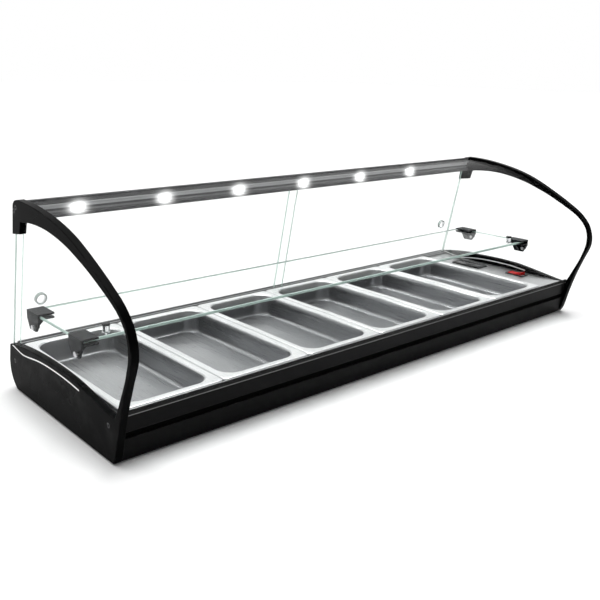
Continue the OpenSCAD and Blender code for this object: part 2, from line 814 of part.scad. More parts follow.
module switch_rocker() {
    e = rocker_length / 2;
    color([0.75, 0.05, 0.05]) translate([switch_x, switch_y, pivot_z]) rotate([-rocker_tilt, 0, 0]) {
        along_x(-rocker_width / 2, rocker_width / 2) polygon([[-9, -7], [9, -7], [e - 0.6, 0.5],
            [e, 8], [e * 0.75, 7.2], [e * 0.35, 5.9], [0, 5.4], [-e * 0.35, 5.9], [-e * 0.75, 7.2],
            [-e, 8], [-e + 0.6, 0.5]]);
        rotate([0, 90, 0]) cylinder(r = pin_radius, h = cavity[0] + 2 * pin_reach, center = true);
    }
}

// temperature controller in the service deck
module thermostat_bezel() {
    color([0.06, 0.06, 0.065]) translate([thermostat_x, thermostat_y, deck_height]) difference() {
        linear_extrude(bezel_height) rounded(bezel_size, 3);
        translate([0, window_offset, 1]) linear_extrude(3)
            square(window_size + [2, 2] * fixed_gap, center = true);
        for (y = key_offsets) translate([0, y, 1]) linear_extrude(3)
            rounded(key_size + [2, 2] * fixed_gap, 2);
    }
}

module thermostat_window() {
    color([0.03, 0.03, 0.03]) translate([thermostat_x, thermostat_y + window_offset, deck_height + 1])
        linear_extrude(bezel_height - 1.1) square(window_size, center = true);
}

module thermostat_keys() {
    color([0.16, 0.16, 0.17]) for (y = key_offsets)
        translate([thermostat_x, thermostat_y + y, deck_height + 1])
            linear_extrude(bezel_height - 0.6) rounded(key_size, 1.8);
}

module thermostat_body() {
    color([0.1, 0.1, 0.1]) translate([thermostat_x, thermostat_y, deck_height - 39])
        linear_extrude(39) square(body_size, center = true);
}

module rubber_feet() {
    color([0.05, 0.05, 0.05])
        for (x = [-inner_half + 45, 0, inner_half - 45], y = [place([-122, 0])[0], place([140, 0])[0]])
            translate([x, y, 0]) cylinder(r = foot_radius, h = tray_bottom);
}

module end_frame_screws() {
    color([0.12, 0.12, 0.12]) for (m = [0, 1]) mirror([m, 0, 0]) screw_places()
        translate([0, 0, 0.3]) difference() {
            union() {
                cylinder(r = screw_head, h = screw_head_height);
                cylinder(r = screw_shank, h = screw_length);
            }
            translate([0, 0, -1]) cylinder(r = 2, h = 2.4, $fn = 6);
        }
}

left_end_frame();
right_end_frame();
left_frame_inlay();
right_frame_inlay();
left_end_glass();
right_end_glass();
front_glass();
front_glass_seal();
light_profile();
led_board();
led_modules();
glass_shelf();
bracket_front_left();
bracket_front_right();
bracket_rear_left();
bracket_rear_right();
bracket_screws();
shelf_posts();
shelf_post_caps();
left_sliding_door();
right_sliding_door();
left_door_ring();
right_door_ring();
lower_door_track();
deck_panel();
front_lip();
upper_fascia();
lower_fascia();
fascia_groove_strip();
fascia_edge_trim();
base_tray();
rear_panel();
connection_plate();
mounting_blocks();
gn_pan_1();
gn_pan_2();
gn_pan_3();
gn_pan_4();
gn_pan_5();
gn_pan_6();
cold_plate();
evaporator_coil();
insulation();
line_fittings();
drain_spout();
cable_gland();
led_driver();
switch_housing();
switch_rocker();
thermostat_bezel();
thermostat_window();
thermostat_keys();
thermostat_body();
rubber_feet();
end_frame_screws();
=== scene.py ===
import math

import bpy
import numpy as np
from mathutils import Matrix
from mathutils.geometry import delaunay_2d_cdt


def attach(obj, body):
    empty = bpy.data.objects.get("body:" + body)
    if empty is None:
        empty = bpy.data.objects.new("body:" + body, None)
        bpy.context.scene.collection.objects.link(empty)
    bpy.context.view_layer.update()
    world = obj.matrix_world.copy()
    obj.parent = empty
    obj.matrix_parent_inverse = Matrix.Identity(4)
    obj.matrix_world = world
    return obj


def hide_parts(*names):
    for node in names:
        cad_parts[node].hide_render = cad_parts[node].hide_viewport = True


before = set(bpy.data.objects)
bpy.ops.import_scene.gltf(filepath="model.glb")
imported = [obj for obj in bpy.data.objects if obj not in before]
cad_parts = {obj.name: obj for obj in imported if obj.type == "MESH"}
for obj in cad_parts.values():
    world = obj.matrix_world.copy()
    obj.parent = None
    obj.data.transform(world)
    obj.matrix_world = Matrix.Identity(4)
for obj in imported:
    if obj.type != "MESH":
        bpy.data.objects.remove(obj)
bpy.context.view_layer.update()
print("frame loaded")

# millimetres to metres
mm = 0.001

# camera as turned and placed in the room: lens for a 36 mm sensor, shifts as parts of the width
cameraSet = {
    "place": (-1.06229, -1.00606, 0.53642),
    "right": (0.76819, -0.63992, 0.01988),
    "down": (-0.1399, -0.19809, -0.97015),
    "lens": 46.336,
    "sensor": 36.0,
    "shiftX": 0.0718,
    "shiftY": -0.0677,
    "far": 100.0,
}


def place(name, data):
    # a new object in the scene
    made = bpy.data.objects.new(name, data)
    bpy.context.scene.collection.objects.link(made)
    return made


def addCamera():
    data = bpy.data.cameras.new("viewCamera")
    data.sensor_width = cameraSet["sensor"]
    data.lens = cameraSet["lens"]
    data.shift_x = cameraSet["shiftX"]
    data.shift_y = cameraSet["shiftY"]
    data.clip_end = cameraSet["far"]
    right = np.array(cameraSet["right"])
    up = -np.array(cameraSet["down"])
    back = np.cross(right, up)
    up = np.cross(back, right)
    basis = np.column_stack([v / np.linalg.norm(v) for v in (right, up, back)])
    turn = np.eye(4)
    turn[:3, :3] = basis
    turn[:3, 3] = cameraSet["place"]
    camera = place("viewCamera", data)
    camera.matrix_world = Matrix(turn.tolist())
    bpy.context.scene.camera = camera


addCamera()

# lines and loops, in millimetres

loopSet = {
    # closest points, smallest mitre divisor, largest share of a side that a corner takes, flat after it
    "same": 1e-4, "mitre": 0.35, "share": 0.4, "flat": 0.2,
}


def smoothLine(points, count):
    # Catmull-Rom curve through the points, count steps between two of them
    p = np.array(points, float)
    q = np.vstack([p[:1], p, p[-1:]])
    t = (np.arange(count) / count)[None, :, None]
    a, b, c, d = (q[i : i + len(p) - 1][:, None, :] for i in range(4))
    out = 0.5 * (
        2 * b
        + (c - a) * t
        + (2 * a - 5 * b + 4 * c - d) * t**2
        + (3 * b - a - 3 * c + d) * t**3
    )
    return np.vstack([out.reshape(-1, 2), p[-1:]])


def lineSides(line):
    # miter vectors to the right-hand side of an open line
    step = np.diff(line, axis=0)
    step /= np.linalg.norm(step, axis=1)[:, None]
    a = np.vstack([step[:1], step])
    b = np.vstack([step, step[-1:]])
    na = np.column_stack([a[:, 1], -a[:, 0]])
    nb = np.column_stack([b[:, 1], -b[:, 0]])
    return (na + nb) / (1 + (na * nb).sum(1))[:, None]


def band(line, d0, d1):
    # closed loop between two offsets of a line
    side = lineSides(line)
    return np.vstack([line + d0 * side, (line + d1 * side)[::-1]])


def cleanLoop(loop):
    # drops repeated points and makes the loop run counterclockwise
    p = np.array(loop, float)
    keep = np.linalg.norm(p - np.roll(p, 1, 0), axis=1) > loopSet["same"]
    p = p[keep]
    x, y = p.T
    area = (x * np.roll(y, -1) - np.roll(x, -1) * y).sum()
    return p if area > 0 else p[::-1].copy()


def insetLoop(p, d):
    # moves a counterclockwise loop inwards by d, mitred
    a = p - np.roll(p, 1, 0)
    b = np.roll(p, -1, 0) - p
    a /= np.linalg.norm(a, axis=1)[:, None]
    b /= np.linalg.norm(b, axis=1)[:, None]
    na = np.column_stack([-a[:, 1], a[:, 0]])
    nb = np.column_stack([-b[:, 1], b[:, 0]])
    return p + d * (na + nb) / np.maximum(1 + (na * nb).sum(1), loopSet["mitre"])[:, None]


def softLoop(loop, r, count=3):
    # each corner is replaced by a short curve that starts r before it and ends r after it
    p = cleanLoop(loop)
    a = np.roll(p, 1, 0) - p
    b = np.roll(p, -1, 0) - p
    la = np.linalg.norm(a, axis=1)[:, None]
    lb = np.linalg.norm(b, axis=1)[:, None]
    r = np.broadcast_to(np.asarray(r, float).reshape(-1, 1), la.shape)
    r = np.minimum(r, loopSet["share"] * np.minimum(la, lb))
    start = p + a / la * r
    end = p + b / lb * r
    t = np.linspace(0, 1, count + 1)[None, :, None]
    out = (
        start[:, None] * (1 - t) ** 2 + 2 * p[:, None] * t * (1 - t) + end[:, None] * t**2
    )
    # one more point on each side keeps the flats flat in smooth shading
    before = start + a / la * r * loopSet["flat"]
    after = end + b / lb * r * loopSet["flat"]
    out = np.concatenate([before[:, None], out, after[:, None]], 1)
    return cleanLoop(out.reshape(-1, 2))


def ringLoop(x, y, r, count=28):
    t = np.arange(count) * 2 * math.pi / count
    return np.column_stack([x + r * np.cos(t), y + r * np.sin(t)])


def boxLoop(x0, y0, x1, y1, r=0.0, count=5):
    p = np.array([[x0, y0], [x1, y0], [x1, y1], [x0, y1]], float)
    return softLoop(p, r, count) if r else p


# solids as (points, faces, material numbers)

alongX = (np.zeros(3), (0, 1, 0), (0, 0, 1), (1, 0, 0))
alongZ = (np.zeros(3), (1, 0, 0), (0, 1, 0), (0, 0, 1))


def gridFaces(rows, cols, start=0):
    # quads between rings that are closed along the columns
    i = np.arange(rows - 1)[:, None] * cols
    j = np.arange(cols)[None, :]
    k = (j + 1) % cols
    return start + np.stack([i + j, i + k, i + k + cols, i + j + cols], -1).reshape(-1, 4)


def insideLoop(spots, loop):
    # even-odd test of each spot against a loop
    x, y = spots[:, :1], spots[:, 1:]
    a, b = loop.T[:, None], np.roll(loop, -1, 0).T[:, None]
    rise = np.where(a[1] == b[1], 1, b[1] - a[1])
    crossed = ((a[1] > y) != (b[1] > y)) & (x < a[0] + (y - a[1]) * (b[0] - a[0]) / rise)
    return crossed.sum(1) % 2 == 1


def plate(loop, low, high, basis, edge, holes=(), pockets=(), steps=3, sideMark=0):
    # A plate with the outline loop from low to high. Its rim follows a quarter circle of radius
    # edge to both faces, with a flat margin on both sides of it. Holes go through, pockets are
    # (loop, depth, in the low face or not).
    margin = 0.3
    loop = cleanLoop(loop)
    n = len(loop)
    t = np.linspace(0, math.pi / 2, steps + 1)
    insets = np.concatenate([[edge + margin], edge * (1 - np.sin(t)), [0]])
    heights = np.concatenate([[0], edge * (1 - np.cos(t)), [edge + margin]])
    rings = [(a, low + h) for a, h in zip(insets, heights)]
    rings += [(a, high - h) for a, h in zip(insets[::-1], heights[::-1])]
    verts = [np.column_stack([insetLoop(loop, a), np.full(n, c)]) for a, c in rings]
    faces = gridFaces(len(rings), n).tolist()
    mats = np.repeat([0] + [sideMark] * (len(rings) - 3) + [0], n).tolist()
    lowLoops = [(0, n)]
    highLoops = [((len(rings) - 1) * n, n)]
    total = len(rings) * n
    cuts = [(h, low, high, True, True) for h in holes]
    cuts += [
        (h, low, low + depth, True, False) if atLow else (h, high - depth, high, False, True)
        for h, depth, atLow in pockets
    ]
    for outline, c0, c1, openLow, openHigh in cuts:
        h = cleanLoop(outline)
        m = len(h)
        verts += [np.column_stack([h, np.full(m, c)]) for c in (c0, c1)]
        faces += gridFaces(2, m, total)[:, ::-1].tolist()
        mats += [sideMark] * m
        if openLow:
            lowLoops.append((total, m))
        else:
            faces.append(list(range(total, total + m)))
            mats.append(0)
        if openHigh:
            highLoops.append((total + m, m))
        else:
            faces.append(list(range(total + m, total + 2 * m))[::-1])
            mats.append(0)
        total += 2 * m
    verts = np.vstack(verts)
    # both faces are cut into triangles, without those that lie in a hole or a pocket
    for loops, level, flip in ((lowLoops, low, True), (highLoops, high, False)):
        index = np.concatenate([np.arange(s, s + m) for s, m in loops])
        edges = []
        start = 0
        for _, m in loops:
            edges += [(start + i, start + (i + 1) % m) for i in range(m)]
            start += m
        spots, _, areas, origin, _, _ = delaunay_2d_cdt(verts[index, :2].tolist(), edges, [], 1, 1e-5)
        spots, areas = np.array([tuple(spot) for spot in spots]), np.array(areas)
        # a spot without an origin is new, where two edges cross
        new = np.array([not came for came in origin])
        ids = np.empty(len(spots), int)
        ids[~new] = [index[came[0]] for came in origin if came]
        ids[new] = len(verts) + np.arange(new.sum())
        verts = np.vstack([verts, np.column_stack([spots[new], np.full(new.sum(), level)])])
        middles = spots[areas].mean(1)
        inside = [insideLoop(middles, verts[first : first + m, :2]) for first, m in loops]
        cap = ids[areas[np.sum(inside, 0) == 1]]
        x, y = verts[cap, 0], verts[cap, 1]
        turn = (x * np.roll(y, -1, 1) - np.roll(x, -1, 1) * y).sum(1)
        cap[(turn < 0) != flip] = cap[(turn < 0) != flip, ::-1]
        faces += cap.tolist()
        mats += [0] * len(cap)
    o, a, b, c = (np.asarray(v, float) for v in basis)
    points = o + verts[:, :1] * a + verts[:, 1:2] * b + verts[:, 2:] * c
    if np.dot(np.cross(a, b), c) < 0:
        faces = [f[::-1] for f in faces]
    return points, faces, mats


def lathe(profile, origin, axis, count):
    # closed profile of (radius, height) turned about an axis
    p = cleanLoop(profile)
    axis = np.asarray(axis, float) / np.linalg.norm(axis)
    u = np.cross(axis, (1, 0, 0) if abs(axis[0]) < 0.9 else (0, 1, 0))
    u /= np.linalg.norm(u)
    v = np.cross(axis, u)
    t = np.arange(count) * 2 * math.pi / count
    ring = np.cos(t)[:, None] * u + np.sin(t)[:, None] * v
    points = (
        np.asarray(origin, float)
        + p[None, :, :1] * ring[:, None, :]
        + p[None, :, 1:] * axis
    ).reshape(-1, 3)
    m = len(p)
    i = np.arange(count)[:, None] * m
    k = ((np.arange(count) + 1) % count)[:, None] * m
    j = np.arange(m)[None, :]
    q = (j + 1) % m
    faces = np.stack([i + j, i + q, k + q, k + j], -1).reshape(-1, 4)[:, ::-1]
    return points, faces.tolist(), [0] * len(faces)


def onSide(side, part):
    # a part of the right side as it is, or mirrored for the left side
    points, faces, mats = part
    if side == "right":
        return part
    return points * (-1, 1, 1), [f[::-1] for f in faces], mats


meshSet = {"sharpAngle": 40, "rubGain": 4, "rubStart": 0.5}


def meshArray(items, key, width, kind):
    out = np.empty(len(items) * width, kind)
    items.foreach_get(key, out)
    return out.reshape(-1, width) if width > 1 else out


def markEdges(mesh):
    # stores at each point how sharply the faces beside it bend outwards, for the rubbed edges
    edge = meshArray(mesh.loops, "edge_index", 1, np.int32)
    total = meshArray(mesh.polygons, "loop_total", 1, np.int32)
    normal = meshArray(mesh.polygons, "normal", 3, np.float32)
    centre = meshArray(mesh.polygons, "center", 3, np.float32)
    face = np.repeat(np.arange(len(total)), total)
    order = np.argsort(edge, kind="stable")
    edge, face = edge[order], face[order]
    first = np.flatnonzero(edge[1:] == edge[:-1])
    a, b = face[first], face[first + 1]
    outwards = ((centre[b] - centre[a]) * normal[a]).sum(1) < 0
    bend = np.arccos(np.clip((normal[a] * normal[b]).sum(1), -1, 1)) * outwards
    ends = meshArray(mesh.edges, "vertices", 2, np.int32)[edge[first]]
    rub = np.zeros(len(mesh.vertices), np.float32)
    np.maximum.at(rub, ends.ravel(), np.repeat(bend, 2).astype(np.float32))
    layer = mesh.attributes.new("rub", "FLOAT", "POINT")
    layer.data.foreach_set("value", np.clip(meshSet["rubGain"] * rub - meshSet["rubStart"], 0, 1))


def addPiece(name, parts, looks, body, node):
    # joins the parts into one mesh, smooth with sharp edges, in place of one CAD node
    points, faces, mats = [], [], []
    count = 0
    for p, f, m in parts:
        points.append(p)
        faces += [[i + count for i in face] for face in f]
        mats += m
        count += len(p)
    mesh = bpy.data.meshes.new(name)
    mesh.from_pydata((np.vstack(points) * mm).tolist(), [], faces)
    mesh.polygons.foreach_set("material_index", mats)
    mesh.polygons.foreach_set("use_smooth", [True] * len(faces))
    mesh.validate()
    mesh.update()
    mesh.set_sharp_from_angle(angle=math.radians(meshSet["sharpAngle"]))
    markEdges(mesh)
    for look in looks:
        mesh.materials.append(finish[look])
    piece = place(name, mesh)
    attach(piece, body)
    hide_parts(node)


print("shape tools ready")

# shader groups


def newGroup(name, inputs, outputs):
    group = bpy.data.node_groups.new(name, "ShaderNodeTree")
    for label, kind, value in inputs:
        socket = group.interface.new_socket(label, in_out="INPUT", socket_type="NodeSocket" + kind)
        if value is not None:
            socket.default_value = value
    for label, kind in outputs:
        group.interface.new_socket(label, in_out="OUTPUT", socket_type="NodeSocket" + kind)
    return group, group.nodes.new("NodeGroupInput"), group.nodes.new("NodeGroupOutput")


def setSockets(tree, node, values, links=()):
    # sets inputs from (key, value) and links them from (key, output socket)
    for key, value in values:
        node.inputs[key].default_value = value
    for key, socket in links:
        tree.links.new(socket, node.inputs[key])


def addNode(tree, kind, values=(), links=(), **props):
    node = tree.nodes.new("ShaderNode" + kind)
    for key, value in props.items():
        setattr(node, key, value)
    setSockets(tree, node, values, links)
    return node


def newMaterial(name):
    # a material with its tree, its shader and the place on the object
    material = bpy.data.materials.new(name)
    material.use_nodes = True
    tree = material.node_tree
    return material, tree, tree.nodes["Principled BSDF"], addNode(tree, "TexCoord").outputs["Object"]


def spread(group, socket, ends):
    # 0 at the first end and 1 at the second
    values = list(zip(("From Min", "From Max"), ends))
    return addNode(group, "MapRange", values, [("Value", socket)]).outputs["Result"]


def times(group, a, b):
    return addNode(group, "Math", [], [(0, a), (1, b)], operation="MULTIPLY").outputs[0]


def noisePatch(group, vector, look):
    values = [("Scale", look["scale"]), ("Detail", look["detail"])]
    noise = addNode(group, "TexNoise", values, [("Vector", vector)])
    return spread(group, noise.outputs["Fac"], look["ends"])


grainSet = {"fine": 3.0, "clouds": 4.0, "ends": (0.32, 0.68), "deep": 0.0004}
streakSet = {"scale": 1.0, "detail": 4.0, "ends": (0.3, 0.7), "deep": 0.0003}
wearSet = {"scale": 55.0, "detail": 5.0, "ends": (0.42, 0.7)}
dustSet = {
    "scale": 26.0, "detail": 6.0, "ends": (0.38, 0.72), "up": (0.2, 1.0), "colour": (0.5, 0.49, 0.47),
}


def makeGrainGroup():
    # cloudy noise over fine noise, as a mask from 0 to 1 and a bumped normal
    group, gin, gout = newGroup(
        "fineGrain",
        [
            ("Vector", "Vector", None), ("Scale", "Float", 900.0),
            ("Cloud", "Float", 9.0), ("Height", "Float", 0.05),
        ],
        [("Mask", "Float"), ("Normal", "Vector")],
    )
    vector, scale, cloud = (gin.outputs[key] for key in ("Vector", "Scale", "Cloud"))
    fine = addNode(
        group, "TexNoise", [("Detail", grainSet["fine"])], [("Vector", vector), ("Scale", scale)]
    )
    clouds = addNode(
        group, "TexNoise", [("Detail", grainSet["clouds"])], [("Vector", vector), ("Scale", cloud)]
    )
    mask = spread(group, clouds.outputs["Fac"], grainSet["ends"])
    bump = addNode(
        group, "Bump", [("Distance", grainSet["deep"])],
        [("Height", fine.outputs["Fac"]), ("Strength", gin.outputs["Height"])],
    )
    group.links.new(mask, gout.inputs["Mask"])
    group.links.new(bump.outputs["Normal"], gout.inputs["Normal"])
    return group


def makeStreakGroup():
    # noise drawn out along one axis, as the marks of a brushing belt
    group, gin, gout = newGroup(
        "brushStreaks",
        [("Vector", "Vector", None), ("Stretch", "Vector", (20, 1500, 1500)), ("Height", "Float", 0.05)],
        [("Mask", "Float"), ("Normal", "Vector")],
    )
    long = addNode(
        group, "VectorMath", [], [(0, gin.outputs["Vector"]), (1, gin.outputs["Stretch"])],
        operation="MULTIPLY",
    )
    values = [("Scale", streakSet["scale"]), ("Detail", streakSet["detail"])]
    noise = addNode(group, "TexNoise", values, [("Vector", long.outputs[0])])
    mask = spread(group, noise.outputs["Fac"], streakSet["ends"])
    bump = addNode(
        group, "Bump", [("Distance", streakSet["deep"])],
        [("Height", noise.outputs["Fac"]), ("Strength", gin.outputs["Height"])],
    )
    group.links.new(mask, gout.inputs["Mask"])
    group.links.new(bump.outputs["Normal"], gout.inputs["Normal"])
    return group


def makeWearGroup():
    # rubbed edges: the stored bend of the surface, broken up by noise
    group, gin, gout = newGroup(
        "edgeWear",
        [("Vector", "Vector", None), ("Amount", "Float", 0.5)],
        [("Mask", "Float")],
    )
    edge = addNode(group, "Attribute", attribute_name="rub")
    both = times(group, edge.outputs["Fac"], noisePatch(group, gin.outputs["Vector"], wearSet))
    group.links.new(times(group, both, gin.outputs["Amount"]), gout.inputs["Mask"])
    return group


def makeDustGroup():
    # thin dust on faces that look up, in patches
    group, gin, gout = newGroup(
        "lightDust",
        [("Vector", "Vector", None), ("Amount", "Float", 0.1)],
        [("Mask", "Float")],
    )
    shape = addNode(group, "NewGeometry")
    parts = addNode(group, "SeparateXYZ", [], [(0, shape.outputs["Normal"])])
    up = spread(group, parts.outputs["Z"], dustSet["up"])
    both = times(group, up, noisePatch(group, gin.outputs["Vector"], dustSet))
    group.links.new(times(group, both, gin.outputs["Amount"]), gout.inputs["Mask"])
    return group


lightPoint = {
    # places in metres along the profile, and how far the spilled light reaches
    "first": -0.487, "pitch": 0.168, "count": 6, "y": 0.133, "z": 0.308,
    "reachX": 0.013, "reachY": 0.006, "reachZ": 0.0085, "fall": 0.42,
    "spill": 2.4, "strength": 40.0, "colour": (1.0, 0.98, 0.93), "warm": (1.0, 0.95, 0.86),
    "cells": {"Scale": 800, "Cloud": 90, "Height": 0.1},
}


def makeGlowGroup():
    # light spilled round each light point, a bell curve of the distance, longer along the profile
    group, gin, gout = newGroup("lightSpill", [("Vector", "Vector", None)], [("Colour", "Color")])
    parts = addNode(group, "SeparateXYZ", [], [(0, gin.outputs["Vector"])])

    def step(kind, a, b):
        node = addNode(group, "Math", operation=kind)
        for i, v in enumerate((a, b)):
            if isinstance(v, float):
                node.inputs[i].default_value = v
            elif v is not None:
                group.links.new(v, node.inputs[i])
        return node.outputs[0]

    point = lightPoint
    along = step("DIVIDE", step("SUBTRACT", parts.outputs["X"], point["first"]), point["pitch"])
    number = step("MAXIMUM", step("MINIMUM", step("ROUND", along, None), point["count"] - 1.0), 0.0)
    dx = step("MULTIPLY", step("SUBTRACT", along, number), point["pitch"] / point["reachX"])
    dz = step("DIVIDE", step("SUBTRACT", parts.outputs["Z"], point["z"]), point["reachZ"])
    dy = step("DIVIDE", step("SUBTRACT", parts.outputs["Y"], point["y"]), point["reachY"])
    square = step("ADD", step("MULTIPLY", dx, dx), step("MULTIPLY", dz, dz))
    square = step("ADD", square, step("MULTIPLY", dy, dy))
    fall = step("POWER", point["fall"], square)
    grey = addNode(group, "CombineColor", [], [("Red", fall), ("Green", fall), ("Blue", fall)])
    group.links.new(grey.outputs[0], gout.inputs["Colour"])
    return group


def makeHeightGroup():
    # 0 below the low height, 1 above the high one and an even rise between them
    group, gin, gout = newGroup(
        "heightMask",
        [("Vector", "Vector", None), ("Low", "Float", 0.0), ("High", "Float", 1.0)],
        [("Mask", "Float")],
    )
    parts = addNode(group, "SeparateXYZ", [], [(0, gin.outputs["Vector"])])
    ends = [("From Min", gin.outputs["Low"]), ("From Max", gin.outputs["High"])]
    ramp = addNode(group, "MapRange", [], [("Value", parts.outputs["Z"])] + ends)
    group.links.new(ramp.outputs["Result"], gout.inputs["Mask"])
    return group


grainGroup = makeGrainGroup()
glowGroup = makeGlowGroup()
heightGroup = makeHeightGroup()
streakGroup = makeStreakGroup()
wearGroup = makeWearGroup()
dustGroup = makeDustGroup()


def groupNode(tree, group, vector, **values):
    node = tree.nodes.new("ShaderNodeGroup")
    node.node_tree = group
    tree.links.new(vector, node.inputs["Vector"])
    for key, value in values.items():
        node.inputs[key].default_value = value
    return node


def mixColour(tree, fac, a, b, blend="MIX"):
    # a and b are sockets or plain colours, fac is a socket or a plain number
    node = tree.nodes.new("ShaderNodeMix")
    node.data_type = "RGBA"
    node.blend_type = blend
    if isinstance(fac, float):
        node.inputs["Factor"].default_value = fac
    else:
        tree.links.new(fac, node.inputs["Factor"])
    for slotName, value in (("A", a), ("B", b)):
        socket = next(s for s in node.inputs if s.name == slotName and s.type == "RGBA")
        if isinstance(value, tuple):
            socket.default_value = (*value, 1)
        else:
            tree.links.new(value, socket)
    return next(s for s in node.outputs if s.type == "RGBA")


# painted light and shade: bright and dim bands by height along the light profile and its board, as (height,
# lightness)
profileLightShadeBands = [
    (0.2955, 0.5), (0.3000, 0.5), (0.3010, 1.35), (0.3058, 1.35), (0.3066, 0.5), (0.3094, 0.5),
    (0.3102, 2.5), (0.3168, 2.5), (0.3178, 0.7), (0.3262, 0.7), (0.3270, 1.6), (0.3290, 1.6),
]

